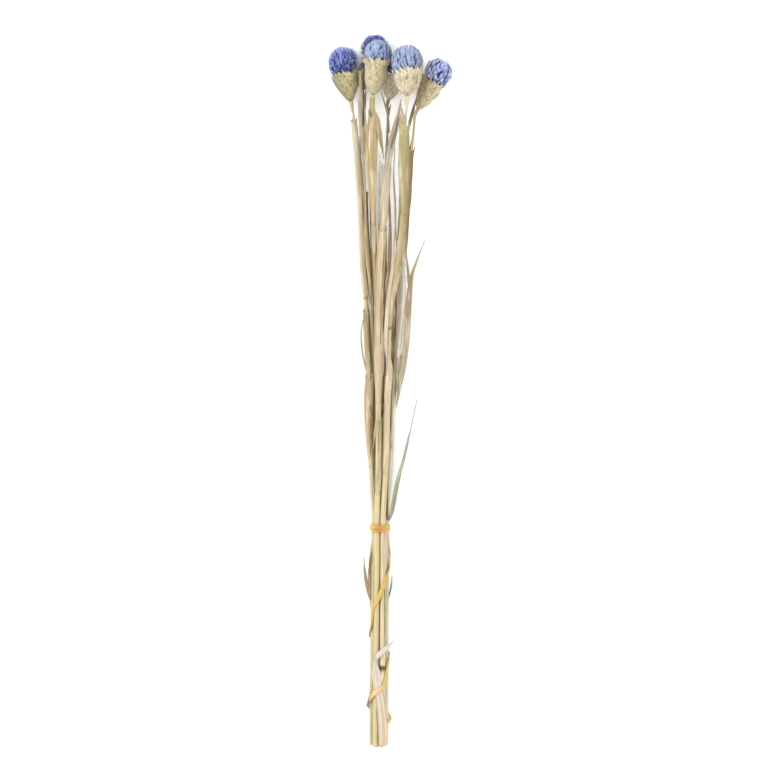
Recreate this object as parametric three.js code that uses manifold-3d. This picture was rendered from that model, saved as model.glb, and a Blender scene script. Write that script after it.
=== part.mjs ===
// A bunch of seven dried, blue-dyed globe thistles, cut, tied with one long rubber band and lying on a table.
// Millimetres, +Z up. +Y runs from the cut ends to the flower heads. The origin is on the table, under the
// middle one of the band's three turns, where it is pulled flat between the two lowest stems.

import * as THREE from "three";
import { mergeVertices } from "three/addons/utils/BufferGeometryUtils.js";
import Module from "manifold-3d";

const wasm = await Module();
wasm.setup();

// ---------------------------------------------------------------- driving dimensions

const GAP = 0.3; // clear space between two pieces that touch

const BAND_THICKNESS = 1.1; // rubber band, pulled tight
const BAND_WIDTH = 2.2;
const BAND_PITCH = 2.4; // from one turn to the next, where it is wound three times round the tie
const BAND_GROOVE = 0.35; // depth between two turns
const SPIRAL_WIDTH = 2.4; // the band where it runs down the stems
const SPIRAL_THICKNESS = 1;
const SPIRAL_STEPS = 64;
const SPIRAL_GAP = GAP + 0.35; // the strip is drawn with straight steps, which cut a little off its bends
const ARC_PER_TURN = 11; // millimetres of band to a radian round the bunch

const TIE_CULM_RADIUS = 2.75; // a stem's radius where it is tied
const TIE_SPACING = 5.9; // centre to centre of the tied stems, packed two, three, two
const BASE_SPACING = 6.6; // the same at the cut ends, which splay a little
const TIE_HALF = 6; // the stems run parallel this far below the tie's middle
const SPLAY_LENGTH = 190; // and reach the wider spacing over this length
const BASE_Y = -215; // the cut ends
const PACK_X_BASE = -1.2; // the middle of the bunch at the cut ends
const ROW_RISE = Math.sqrt(3) / 2; // from one row of the packing to the next, in spacings
const LOW_ROW_Z = BAND_THICKNESS + GAP + TIE_CULM_RADIUS; // lowest row of stems, at the tie
const LOW_ROW_LIFT = 0.7; // how much higher the lowest row is where the band winds under it
const LOW_ROW_RAMP = [8, 60]; // it rises over this stretch below the tie

const CULM_SIDES = 6;
const CULM_RADII = [ // radius of the bare stem by height: stout at the cut end, thin under the head
  [BASE_Y, 2.8], [0, TIE_CULM_RADIUS], [150, 2.5], [250, 2.15], [320, 1.7], [400, 1.25], [440, 1.2],
];
const TIED_HEIGHTS = [-160, -100, -50, -10, 0, 12]; // a stem's middle line is fixed here, in the packing
const TIE_ENDS = [-8, 12]; // a section is drawn just below and above the tie, where a stem starts to bend
const STEP_Y = 44; // longest straight piece of a stem
const SHORTEST_STEP = 0.8;
const NODE_SWELL = 0.4; // how far a stem's joint stands out
const NODE_SWELL_TIED = 0.1; // the same where the stems are packed
const FREE_FROM = [10, 60]; // above the tie the stems come free of each other over this stretch
const NODE_LENGTH = 3.4;
const NECK_SHARE = 0.19; // radius of a stem's neck, in radii of its cup's rim
const NECK_RADIUS = 1.25; // radius of the bare stem there
const NECK_FLARE = 14; // length over which the stem widens to its neck
const THROAT = 6; // the last stretch of a stem, in line with its head
const SHEATH_LIP = 1.2; // length over which a sheath's mouth steps in to the stem
const SHEATH_OPENING = 30; // length over which a sheath opens out from its joint
const SHEATH_DEPTH = 2.2; // its greatest half depth, across its width

const BLADE_THICKNESS = 0.8;
const BLADE_ARCH = 0.1; // height of a leaf blade's arch, in widths
const BLADE_FOOT = 0.45; // width of its foot and of its tip, in widths
const BLADE_TIP = 0.15;
const BLADE_SWELL_END = 0.3; // share of its length at which it is widest
const BLADE_TAPER_START = 0.55; // share at which it starts to narrow

const BALL_CUT = 0.88; // a flower ball is cut flat this far under its middle, in radii, where it sits on its cup
const BALL_CORE = 0.78; // radius of the core that the florets stand out of, in radii of the ball
const FLORET_EDGE = 3.9; // width of a floret's root; a small ball takes narrower ones
const FLORET_LEAN = 0.9; // how far a floret's tip may lean to a side
const FLORET_LENGTH_SPREAD = 0.09; // how much shorter than the ball's radius a floret may reach, in radii
const ICOSAHEDRON_EDGE = 1.05; // length of a regular icosahedron's edge, in radii

const SCALE_TIERS = 6; // rows of dry bracts on a cup
const SCALES = 9; // bracts in a row; a bud has fewer
const BUD_SCALES = 6;
const BUD_RIM = 8; // a head whose rim is under this radius is a bud
const SCALE_RISE = [0.3, 0.44]; // how far a bract's tip reaches past its row, in rows
const SCALE_DIP = 0.4; // how far the row's edge drops between two tips
const RIM_DIP = 0.16; // the same at the rim
const SCALE_INSET = 0.1; // how far in the edge lies between two tips
const SCALE_TURN = 0.08; // how far a bract may stand out of line, in radians
const SCALE_LIFT = 0.45; // how far a bract's tip stands out
const SCALE_STEP = 0.55; // how far the next row lies back under it
const SCALE_FOLD = 0.1; // and how far down
const RIM_WALL = 1.5; // thickness of the cup's jagged rim
const RIM_SEAT = 2.4; // how far in from the rim the cup's flat top starts
const NECK_GAP = GAP + 0.1; // from a stem's end to its cup

const UP = new THREE.Vector3(0, 0, 1);
const ALONG = new THREE.Vector3(0, 1, 0);

// ---------------------------------------------------------------- materials

const finish = (color, roughness) => new THREE.MeshStandardMaterial({ color, roughness, metalness: 0 });
const STRAW = finish(0xd9c79a, 0.7);
const BRACT = finish(0xb9a878, 0.85);
const ELASTIC = finish(0xe2a73c, 0.55);
const CORNFLOWER = finish(0x5468bd, 0.8);
const PALE_BLUE = finish(0x97a9de, 0.8);
const VIOLET_BLUE = finish(0x5c62c4, 0.8);
const LILAC_BLUE = finish(0x7f88cc, 0.8);

// ---------------------------------------------------------------- the seven thistles
// slot: the stem's place in the tied bunch, as [columns, rows] from the middle of the packing.
// route: the stem's middle line above the tie, up to the neck of the head.
// sheaths: [from y, to y, half width] of the dry leaf sheaths that wrap the stem, open and flattened, with a
// fourth number where a sheath takes longer than most to open. Where two overlap, the later one shows.
// blades: dry leaf blades and split ends of sheaths, which grow from the stem.

const THISTLES = [
  {
    name: "1",
    slot: [-1, 0],
    cut: 2,
    head: { neck: [-28.9, 419, 14.1], ball: [-36.4, 458, 15.2], radius: 15, rim: 13.3, barrel: 0.1 },
    tint: CORNFLOWER,
    route: [
      [-8.6, 57, 9.4], [-11, 106, 10], [-10.8, 148, 10.8], [-12.8, 190, 12], [-14.1, 226, 12.5],
      [-16.2, 263, 13], [-17.8, 302, 13.4], [-19.8, 332, 13.6], [-22.7, 371, 13.8], [-25.4, 401, 14.2],
    ],
    nodes: [60, 148, 226],
    sheaths: [[66, 144, 4.8, 70], [150, 214, 3.2], [228, 400, 3.7]],
    blades: [
      { line: [[-12.5, 150, 11.5], [-17.2, 172, 13], [-18.6, 192, 14], [-15.6, 210, 17]], width: 1.6 },
      { line: [[-7.2, -76, 11], [-12, -60, 11.6], [-14.7, -44, 12], [-16, -28.5, 12.4]], width: 5.2, roll: 0.5 },
    ],
  },
  {
    name: "2",
    slot: [0, 0],
    cut: 1,
    head: { neck: [-7, 425, 39.4], ball: [-2, 465.6, 40.2], radius: 13.4, rim: 10.9, barrel: 0.7 },
    tint: PALE_BLUE,
    route: [
      [-0.4, 57, 10.3], [-1.5, 96, 11.5], [-1.8, 148, 14.2], [-2.4, 194, 18], [-3.4, 234, 21],
      [-5.2, 264, 24], [-6.2, 283, 26.6], [-6.9, 322, 31.2], [-8.4, 366, 35.4], [-7.5, 402, 38.2],
    ],
    nodes: [40, 264],
    sheaths: [[42, 180, 2.8, 70], [380, 422, 2.5], [266, 297, 2.5], [296, 404, 6, 90]],
    blades: [
      {
        line: [[-7.2, 412, 39.4], [-2.8, 402, 41.6], [-0.6, 390, 41.8], [1.6, 376, 41.4], [4, 362, 40.4]],
        width: 4.4,
        roll: -0.3,
      },
      { line: [[-11.2, 346, 33.6], [-13, 366, 36.4], [-13.7, 388, 38], [-15.2, 416, 38.6]], width: 3.4 },
      { line: [[-7.6, 396, 37.8], [-8.8, 402, 40.4], [-10.2, 408, 41]], width: 2.2 },
    ],
  },
  {
    name: "3",
    slot: [0.5, 1],
    cut: 0,
    head: { neck: [26.6, 424, 45.4], ball: [26.6, 458.4, 47.4], radius: 15.6, rim: 13.4, barrel: 0.35 },
    tint: PALE_BLUE,
    route: [
      [5.4, 57, 17], [6.6, 96, 19], [7.2, 126, 20.5], [8.4, 165, 22.5], [9.6, 200, 24.4], [11.6, 226, 26.4],
      [15, 244, 27.8], [18.4, 264, 29.4], [21.2, 284, 31.4], [22.8, 306, 34], [23.3, 361, 39.4], [24.8, 396, 43],
    ],
    nodes: [-138, 52, 196],
    sheaths: [[54, 150, 2.9, 60], [198, 308, 3.3, 50], [290, 396, 5.2, 76]],
    blades: [
      { line: [[7, 112, 21], [7.4, 134, 25.6], [9.8, 156, 27], [8.4, 178, 27.6]], width: 6.4, roll: -0.25 },
      { line: [[22.4, 380, 41.6], [22, 396, 45.4], [21.6, 412, 47]], width: 7.4, roll: 0.1 },
      { line: [[24, 380, 41], [28.2, 394, 39], [32.4, 410, 35], [36.4, 424, 31]], width: 2.8 },
      { line: [[17.6, 266, 29.4], [15.4, 290, 29.8], [14.9, 318, 31], [13.4, 344, 33], [14.6, 374, 36]], width: 1.5 },
      {
        line: [
          [7.4, 160, 24.2], [6, 176, 25.8], [5.9, 192, 27.2], [6.8, 208, 28.4], [8.4, 226, 29.4], [10.8, 244, 30],
          [13.2, 262, 30.8], [14.2, 284, 31.8], [15.2, 302, 33],
        ],
        width: 3.9,
      },
    ],
  },
  {
    name: "4",
    slot: [0.5, -1],
    cut: 4,
    head: { neck: [-6.4, 430, 12.8], ball: [-5, 471.2, 13.4], radius: 13.7, rim: 9.8, barrel: 0.3 },
    tint: VIOLET_BLUE,
    route: [
      [2.6, 57, 4.4], [2, 96, 4.6], [1.2, 145, 5], [-1.8, 194, 6], [-5.2, 243, 8],
      [-6.6, 283, 9], [-7.4, 322, 10], [-8.2, 361, 11], [-7.2, 400, 12],
    ],
    nodes: [128, 243],
    sheaths: [[130, 196, 2.8], [245, 372, 3]],
    blades: [],
  },
  {
    name: "5",
    slot: [-0.5, 1],
    cut: -0.2,
    head: { neck: [8.4, 420.5, 12.4], ball: [16.2, 454.4, 12.1], radius: 12.3, rim: 9.6, barrel: 0.55 },
    tint: LILAC_BLUE,
    route: [
      [-1.7, 57, 17], [-1.5, 106, 20], [-1.2, 155, 23.5], [-1.2, 194, 26], [-0.6, 234, 28], [1.2, 270, 28],
      [2.9, 302, 26], [4.3, 325, 24], [5.8, 345, 21.6], [6.4, 364, 19], [7.2, 385, 16.4], [7.8, 404, 13.6],
    ],
    nodes: [-130, 33, 122],
    sheaths: [[35, 104, 3], [284, 356, 4.4], [124, 292, 4]],
    blades: [
      {
        line: [
          [5.8, 338, 22.4], [7, 350, 23.2], [8.2, 360, 24], [9.9, 370, 25], [11.9, 380, 26.2], [14.4, 390, 27.4],
          [16.4, 400, 28.4], [18.7, 410, 29.4], [20.6, 421, 30.4],
        ],
        width: 6.4,
      },
      {
        line: [
          [2, 188, 25.8], [4.6, 206, 26.2], [5.4, 224, 27], [7.6, 244, 27.4], [9.2, 262, 27], [9.8, 283, 25.6],
          [9.8, 302, 24], [9.2, 322, 22.4], [9.4, 344, 20.4],
        ],
        width: 3.6,
      },
      { line: [[-4.4, -130, 18], [-1.6, -124.8, 22], [6.4, -117.6, 23.2], [14.2, -110.2, 22.6]], width: 4.8 },
    ],
  },
  {
    name: "6",
    slot: [-0.5, -1],
    cut: 3,
    head: { neck: [-16.4, 430, 22.6], ball: [-16, 452, 23.8], radius: 5.4, rim: 5.4, barrel: 0.8 },
    tint: VIOLET_BLUE,
    route: [
      [-3.6, 57, 4.4], [-4.4, 96, 4.8], [-5, 148, 7], [-6.3, 185, 11.8], [-9, 226, 18],
      [-11.5, 263, 22.6], [-14, 302, 25.2], [-15.4, 342, 26.4], [-17.2, 376, 25.6], [-17.8, 402, 23.6],
    ],
    nodes: [78, 212],
    sheaths: [[214, 330, 2.6], [366, 427, 2.9]],
    blades: [
      { line: [[-9.4, 232, 19.6], [-12.4, 262, 26.6], [-15, 296, 30.4], [-15.4, 322, 31.4]], width: 2.6, roll: 0.3 },
      { line: [[-17.2, 380, 25.6], [-18.4, 396, 28.8], [-19, 420, 30.4], [-19.2, 448, 31]], width: 5.2 },
    ],
  },
  {
    name: "7",
    slot: [1, 0],
    cut: 1.5,
    head: { neck: [37.5, 411.5, 13.9], ball: [57.2, 447.7, 14.2], radius: 14, rim: 10.8, barrel: 0.45 },
    tint: LILAC_BLUE,
    route: [
      [9.8, 57, 10], [11.8, 96, 10.5], [13.4, 121, 11], [16.8, 155, 12], [19.2, 190, 13], [21.6, 224, 14],
      [23, 259, 15], [23.8, 278, 15.5], [25.2, 302, 16], [27.2, 322, 16], [28.3, 342, 15.9], [29.6, 361, 15.5],
      [31.8, 378, 15], [33.4, 393, 14.5],
    ],
    nodes: [121, 259],
    sheaths: [[123, 168, 2.9], [176, 246, 3.1], [261, 372, 3]],
    blades: [
      {
        line: [[13.4, 114, 11], [19.8, 145, 13.2], [25.4, 178, 14.6], [28.4, 224, 15.4], [31.4, 248, 16.4], [44.2, 283, 17.6]],
        width: 6.4,
        roll: -0.35,
      },
      { line: [[26.6, 206, 15.6], [29, 232, 18.6], [27.6, 252, 20], [25.4, 277, 21.4]], width: 3.2, roll: 0.6 },
      {
        line: [[7.8, 6.5, 10.4], [11.2, 15, 12.2], [17.2, 45, 15], [24.9, 75, 16.6], [31.8, 105, 17.4], [36.6, 127, 17.6]],
        width: 4.2,
        roll: -0.3,
      },
      { line: [[8, -70, 10.4], [11, -57, 12], [11.9, -46, 12.6]], width: 1.5 },
    ],
  },
];

// ---------------------------------------------------------------- small helpers

/** A seeded source of numbers from 0 to 1 (mulberry32), so every run draws the same. */
function seeded(seed) {
  let state = seed >>> 0;
  return () => {
    state = (state + 0x6d2b79f5) >>> 0;
    let mixed = Math.imul(state ^ (state >>> 15), state | 1);
    mixed ^= mixed + Math.imul(mixed ^ (mixed >>> 7), mixed | 61);
    return ((mixed ^ (mixed >>> 14)) >>> 0) / 4294967296;
  };
}

/** A closed geometry as a solid that can be joined and cut. */
function solid(geometry) {
  const bare = geometry.clone();
  bare.deleteAttribute("normal");
  bare.deleteAttribute("uv");
  const merged = mergeVertices(bare, 1e-4);
  return new wasm.Manifold(
    new wasm.Mesh({
      numProp: 3,
      vertProperties: merged.getAttribute("position").array,
      triVerts: new Uint32Array(merged.index.array),
    }),
  );
}

/**
 * A closed solid skinned over rings of points. A ring runs from a section's side to its face and on round.
 * For a thin strip, alike splits its two faces into triangles the same way.
 */
function skin(rings, alike = false) {
  const row = rings[0].length;
  const last = (rings.length - 1) * row;
  const index = [];
  for (let a = 0; a < last; a++) {
    const k = a % row;
    const b = a - k + ((k + 1) % row);
    if (alike && k >= row / 2) index.push(a, a + row, b + row, a, b + row, b);
    else index.push(a, a + row, b, b, a + row, b + row);
  }
  const middle = (ring) => ring.reduce((sum, point) => sum.add(point), new THREE.Vector3()).divideScalar(row);
  const points = [...rings.flat(), middle(rings[0]), middle(rings.at(-1))];
  for (let k = 0; k < row; k++) {
    const next = (k + 1) % row;
    index.push(points.length - 2, k, next, points.length - 1, last + next, last + k);
  }
  return solid(new THREE.BufferGeometry().setFromPoints(points).setIndex(index));
}

/** A ring of count points. at gives the point at an angle. */
const ringOf = (count, at) => Array.from({ length: count }, (_, k) => at((k * 2 * Math.PI) / count, k));

/** A solid as a named mesh. Loose scraps that a cut leaves are dropped. */
function part(name, made, material) {
  const body = made.decompose().reduce((a, b) => (a.volume() > b.volume() ? a : b));
  const mesh = body.getMesh();
  const geometry = new THREE.BufferGeometry();
  geometry.setAttribute("position", new THREE.BufferAttribute(new Float32Array(mesh.vertProperties), 3));
  geometry.setIndex(new THREE.BufferAttribute(new Uint32Array(mesh.triVerts), 1));
  geometry.computeVertexNormals();
  const shown = new THREE.Mesh(geometry, material);
  shown.name = name;
  return shown;
}

const joined = (solids) => solids.reduce((a, b) => a.add(b));
const vector = (point) => new THREE.Vector3(...point);
const lerp = THREE.MathUtils.lerp;
const smooth = THREE.MathUtils.smoothstep;

/** The share of a curve's length at which it reaches height y. y only grows along the curve. */
function shareAt(curve, y) {
  let low = 0;
  let high = 1;
  for (let i = 0; i < 24; i++) {
    const middle = (low + high) / 2;
    if (curve.getPointAt(middle).y < y) low = middle;
    else high = middle;
  }
  return (low + high) / 2;
}

/** Side and face directions across a line that runs in direction along, turned by roll. */
function across(along, roll = 0) {
  const side = new THREE.Vector3().crossVectors(along, UP).normalize();
  const face = new THREE.Vector3().crossVectors(side, along).normalize();
  const turn = new THREE.Quaternion().setFromAxisAngle(along, roll);
  return [side.applyQuaternion(turn), face.applyQuaternion(turn)];
}

// ---------------------------------------------------------------- stems

/** Centre to centre distance of the stems at and below the tie. */
const spacingAt = (y) => lerp(TIE_SPACING, BASE_SPACING, THREE.MathUtils.clamp((-y - TIE_HALF) / SPLAY_LENGTH, 0, 1));

/** Where a stem stands in the packed part of the bunch. */
function packed([column, row], y) {
  const middle = lerp(0, PACK_X_BASE, smooth(-y, 0, -BASE_Y));
  const lowest = LOW_ROW_Z + LOW_ROW_LIFT * smooth(-y, ...LOW_ROW_RAMP);
  return [middle + column * spacingAt(y), y, lowest + (row + 1) * ROW_RISE * spacingAt(y)];
}

/** A stem's middle line, from its cut end to the neck of its head. */
function stemCurve({ slot, cut, route, head }) {
  const tied = [BASE_Y + cut, ...TIED_HEIGHTS].map((y) => packed(slot, y));
  const neck = vector(head.neck);
  const throat = neck.clone().sub(vector(head.ball)).setLength(THROAT).add(neck);
  return new THREE.CatmullRomCurve3([...[...tied, ...route].map(vector), throat, neck], false, "centripetal");
}

/** Radius of the bare stem at height y. */
function culmRadius(y) {
  const next = CULM_RADII.findIndex(([height]) => height >= y);
  if (next <= 0) return CULM_RADII[0][1];
  const [[y0, r0], [y1, r1]] = [CULM_RADII[next - 1], CULM_RADII[next]];
  return lerp(r0, r1, (y - y0) / (y1 - y0));
}

/** Half width and half depth of a stem with its joints and sheaths at height y. */
function stemSection(thistle, y) {
  let radius = culmRadius(y);
  for (const node of thistle.nodes) {
    if (Math.abs(y - node) < NODE_LENGTH / 4) radius += lerp(NODE_SWELL_TIED, NODE_SWELL, smooth(y, ...FREE_FROM));
  }
  let [wide, deep] = [radius, radius];
  for (const [from, to, halfWidth, opening = SHEATH_OPENING] of thistle.sheaths) {
    if (y < from || y > to) continue;
    const opened = smooth(y, from, from + opening);
    wide = Math.max(radius, lerp(radius, halfWidth, opened));
    deep = Math.max(radius, lerp(radius, Math.min(halfWidth, SHEATH_DEPTH), opened));
  }
  const { rim, neck } = thistle.head;
  const flare = (rim * NECK_SHARE - NECK_RADIUS) * smooth(y, neck[1] - NECK_FLARE, neck[1]);
  return [wide + flare, deep + flare];
}

/** The heights at which a stem's section is drawn: its ends, joints, sheath mouths and steps between them. */
function stemHeights(thistle, low, high) {
  const marks = [low, ...TIE_ENDS, high - 2 * THROAT, high - THROAT, high];
  for (const node of thistle.nodes) {
    marks.push(node - NODE_LENGTH / 2, node, node + NODE_LENGTH / 2);
  }
  for (const [from, to, , opening = SHEATH_OPENING] of thistle.sheaths) {
    marks.push(from + opening / 2, from + opening, to, to + SHEATH_LIP);
  }
  const sorted = marks.filter((y) => y >= low && y <= high).sort((a, b) => a - b);
  const heights = [sorted[0]];
  for (const y of sorted.slice(1)) {
    const start = heights.at(-1);
    if (y - start < SHORTEST_STEP) continue;
    const parts = Math.ceil((y - start) / STEP_Y);
    for (let i = 1; i <= parts; i++) heights.push(lerp(start, y, i / parts));
  }
  heights[heights.length - 1] = high;
  return heights;
}

/** A stem's own body, skinned over its section at each height. */
function culm(thistle, curve) {
  const high = thistle.head.neck[1];
  const rings = stemHeights(thistle, curve.getPointAt(0).y, high).map((y) => {
    const share = y === high ? 1 : shareAt(curve, y);
    const [side, face] = across(curve.getTangentAt(share));
    const [wide, deep] = stemSection(thistle, y);
    return ringOf(CULM_SIDES, (turn) =>
      curve.getPointAt(share).addScaledVector(side, wide * Math.cos(turn)).addScaledVector(face, deep * Math.sin(turn)),
    );
  });
  return skin(rings);
}

/** A leaf blade: an arched strip that narrows to its tip. */
function blade({ line, width, roll = 0 }) {
  const curve = new THREE.CatmullRomCurve3(line.map(vector), false, "centripetal");
  const steps = line.length + 3;
  const rings = [];
  for (let i = 0; i <= steps; i++) {
    const share = i / steps;
    const [side, face] = across(curve.getTangentAt(share), roll);
    const swell = lerp(BLADE_FOOT, 1, smooth(share, 0, BLADE_SWELL_END));
    const taper = lerp(1, BLADE_TIP, smooth(share, BLADE_TAPER_START, 1));
    const halfWidth = (width / 2) * swell * taper;
    const section = [[1, 0.5], [0, 0.5], [-1, 0.5], [-1, -0.5], [0, -0.5], [1, -0.5]];
    rings.push(
      section.map(([column, lift]) =>
        curve
          .getPointAt(share)
          .addScaledVector(side, column * halfWidth)
          .addScaledVector(face, lift * BLADE_THICKNESS + (1 - Math.abs(column)) * BLADE_ARCH * width),
      ),
    );
  }
  return skin(rings, true);
}

// ---------------------------------------------------------------- heads

/** How a head stands: its placing matrix, the distance from neck to ball, and the height of its cup. */
function headFrame({ neck, ball, radius }) {
  const start = vector(neck);
  const axis = vector(ball).sub(start);
  const reach = axis.length();
  const turn = new THREE.Quaternion().setFromUnitVectors(ALONG, axis.normalize());
  const placing = new THREE.Matrix4().compose(start, turn, new THREE.Vector3(1, 1, 1)).toArray();
  return { placing, reach, cupHeight: reach - BALL_CUT * radius };
}

/** Radius of the cup at a share of its height: a funnel, a barrel, or something between. */
function cupRadius(share, { rim, barrel }) {
  const funnel = lerp(NECK_SHARE, 1, Math.pow(Math.sin((Math.min(share, 1) * Math.PI) / 2), 1.3));
  const keg = 1 - (1 - NECK_SHARE) * Math.exp(-4.5 * share);
  return rim * lerp(funnel, keg, barrel);
}

/** The cup of dry bracts under a head: tiers of pointed scales, each tier set half a scale round from the last. */
function cup(head, random) {
  const { placing, cupHeight } = headFrame(head);
  const scales = head.rim > BUD_RIM ? SCALES : BUD_SCALES;
  const tier = 1 / SCALE_TIERS;
  const at = (radius, y, turn) => new THREE.Vector3(radius * Math.cos(turn), y, radius * Math.sin(turn));
  const rings = [ringOf(2 * scales, (turn) => at(cupRadius(0, head), NECK_GAP, turn))];
  for (let t = 0; t < SCALE_TIERS; t++) {
    const isTop = t === SCALE_TIERS - 1;
    const lips = ringOf(2 * scales, (turn, k) => {
      const tip = (k + t) % 2 === 0;
      const rise = tip ? lerp(...SCALE_RISE, random()) : isTop ? -RIM_DIP : -SCALE_DIP;
      return {
        share: (t + 1 + rise) * tier,
        lift: tip ? SCALE_LIFT : -SCALE_INSET,
        turn: turn + SCALE_TURN * (random() - 0.5),
      };
    });
    rings.push(lips.map(({ share, lift, turn }) => at(cupRadius(share, head) + lift, share * cupHeight, turn)));
    const back = isTop ? RIM_WALL : SCALE_STEP;
    rings.push(
      lips.map(({ share, lift, turn }) => at(cupRadius(share, head) + lift - back, share * cupHeight - SCALE_FOLD, turn)),
    );
  }
  rings.push(ringOf(2 * scales, (turn) => at(cupRadius(1, head) - RIM_SEAT, cupHeight - GAP, turn)));
  return skin(rings).transform(placing);
}

/** The blue ball of florets: a core whose every facet carries one pointed floret, cut flat on top of the cup. */
function bloom(head, random) {
  const { placing, reach } = headFrame(head);
  const detail = Math.max(1, Math.round((ICOSAHEDRON_EDGE * BALL_CORE * head.radius) / FLORET_EDGE));
  const core = new THREE.IcosahedronGeometry(BALL_CORE * head.radius, detail).getAttribute("position");
  const lean = () => FLORET_LEAN * (2 * random() - 1);
  const points = [];
  for (let i = 0; i < core.count; i += 3) {
    const [a, b, c] = [0, 1, 2].map((k) => new THREE.Vector3().fromBufferAttribute(core, i + k));
    const tip = a.clone().add(b).add(c).add(new THREE.Vector3(lean(), lean(), lean()));
    tip.setLength(head.radius * (1 - FLORET_LENGTH_SPREAD * random()));
    for (const [from, to] of [[a, b], [b, c], [c, a]]) points.push(from.clone(), to.clone(), tip.clone());
  }
  for (const point of points) point.y = Math.max(point.y, -BALL_CUT * head.radius) + reach;
  return solid(new THREE.BufferGeometry().setFromPoints(points)).transform(placing);
}

// ---------------------------------------------------------------- rubber band

/** Distance from the middle of the bunch to a taut line round its stems, at height y and angle turn. */
function hullDistance(curves, y, turn, clearance) {
  const [middleX, , middleZ] = packed([0, 0], y);
  const centres = curves.map((curve) => curve.getPointAt(shareAt(curve, y)));
  let nearest = Infinity;
  for (let lean = -1.3; lean <= 1.3; lean += 0.05) {
    const [x, z] = [Math.cos(turn + lean), Math.sin(turn + lean)];
    const reach = centres.map((c) => (c.x - middleX) * x + (c.z - middleZ) * z);
    nearest = Math.min(nearest, (Math.max(...reach) + culmRadius(y) + clearance) / Math.cos(lean));
  }
  return nearest;
}

/** One flat turn of the band round the tied stems, with its middle at y. */
function bandTurn(y, width, thickness) {
  const outline = (clearance, path) => {
    for (let k = 0; k < 6; k++) {
      const bearing = (k * Math.PI) / 3; // a stem of the packing's outer ring
      const centre = [TIE_SPACING * Math.cos(bearing), TIE_SPACING * Math.sin(bearing)];
      path.absarc(...centre, TIE_CULM_RADIUS + clearance, bearing - Math.PI / 6, bearing + Math.PI / 6, false);
    }
    return path;
  };
  const shape = outline(GAP + thickness, new THREE.Shape());
  shape.holes.push(outline(GAP + 0.1, new THREE.Path()));
  const turn = new THREE.ExtrudeGeometry(shape, { depth: width, bevelEnabled: false, curveSegments: 1 });
  turn.rotateX(Math.PI / 2);
  turn.translate(0, y + width / 2, packed([0, 0], 0)[2]);
  return solid(turn);
}

/** The band's run down the bunch: where it crosses the right side, the front and the left side. */
const WINDING = [
  [-2.6, -0.6], [-18, -0.35], [-31, 0.09], [-40, 0.27], [-49, 0.88], [-62, 1.41], [-73, 1.9], [-78, 2.25],
  [-88, 2.45], [-100, 2.85], [-108, 3.7], [-116, 4.9], [-125, 6.28], [-142, 6.99], [-156, 7.5], [-160, 8.03],
  [-170, 9.1], [-176, 9.7], [-180, 11.2], [-183, 12.2], [-188, 12.9], [-192, 13.4],
];
const HOOK_TURN = 12.57; // where, in radians, the last stretch bows out as a slack loop
const HOOK_SPREAD = 0.45;
const HOOK_BULGE = 2.4;

/** The band wound down the stems in a loose spiral, as a flat strip pulled round them. */
function bandSpiral(curves) {
  const marks = WINDING.map(([y, turn]) => new THREE.Vector3(turn * ARC_PER_TURN, y, 0));
  const run = new THREE.CatmullRomCurve3(marks, false, "centripetal");
  const at = (share) => {
    const { x: arc, y } = run.getPointAt(THREE.MathUtils.clamp(share, 0, 1));
    const turn = arc / ARC_PER_TURN;
    const slack = HOOK_BULGE * Math.exp(-Math.pow((turn - HOOK_TURN) / HOOK_SPREAD, 2));
    const distance = hullDistance(curves, y, turn, SPIRAL_GAP + SPIRAL_THICKNESS / 2) + slack;
    const out = new THREE.Vector3(Math.cos(turn), 0, Math.sin(turn));
    return [vector(packed([0, 0], y)).addScaledVector(out, distance), out];
  };
  const rings = [];
  for (let i = 0; i <= SPIRAL_STEPS; i++) {
    const share = i / SPIRAL_STEPS;
    const nudge = 1 / (4 * SPIRAL_STEPS);
    const [place, out] = at(share);
    const along = at(share + nudge)[0].sub(at(share - nudge)[0]).normalize();
    const side = new THREE.Vector3().crossVectors(along, out).normalize();
    rings.push(
      [[1, 1], [-1, 1], [-1, -1], [1, -1]].map(([u, v]) =>
        place.clone().addScaledVector(side, (u * SPIRAL_WIDTH) / 2).addScaledVector(out, (v * SPIRAL_THICKNESS) / 2),
      ),
    );
  }
  return skin(rings);
}

// ---------------------------------------------------------------- the bunch

const bunch = new THREE.Group();
bunch.name = "globe_thistle_bunch";
const curves = THISTLES.map(stemCurve);

THISTLES.forEach((thistle, i) => {
  const random = seeded(100 + i);
  const stem = joined([culm(thistle, curves[i]), ...thistle.blades.map(blade)]);
  bunch.add(part("stem_" + thistle.name, stem, STRAW));
  bunch.add(part("cup_" + thistle.name, cup(thistle.head, random), BRACT));
  bunch.add(part("bloom_" + thistle.name, bloom(thistle.head, random), thistle.tint));
});

const band = joined([
  ...[-BAND_PITCH, 0, BAND_PITCH].map((y) => bandTurn(y, BAND_WIDTH, BAND_THICKNESS)),
  bandTurn(0, 2 * BAND_PITCH, BAND_THICKNESS - BAND_GROOVE),
  bandSpiral(curves),
]);
bunch.add(part("rubber_band", band, ELASTIC));

export default bunch;
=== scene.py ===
# %% [markdown]
# # A tied bunch of seven dried, blue-dyed globe thistles
#
# The real thing is a florist's bunch: seven straw-like stems, each with a scaly cup and a round blue flower
# head, held by one rubber band. It lies on a white table and is seen from straight above.
#
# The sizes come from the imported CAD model, which stays the fixed frame. Every piece below is made where its
# CAD solid lies, only finer, and then stands in for it. Lengths are millimetres, and MM turns them into
# Blender's metres. Only the floor's reach, the lamps and the camera's clipping are written in metres.

# %% Load the frame and keep its box
import math

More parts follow.
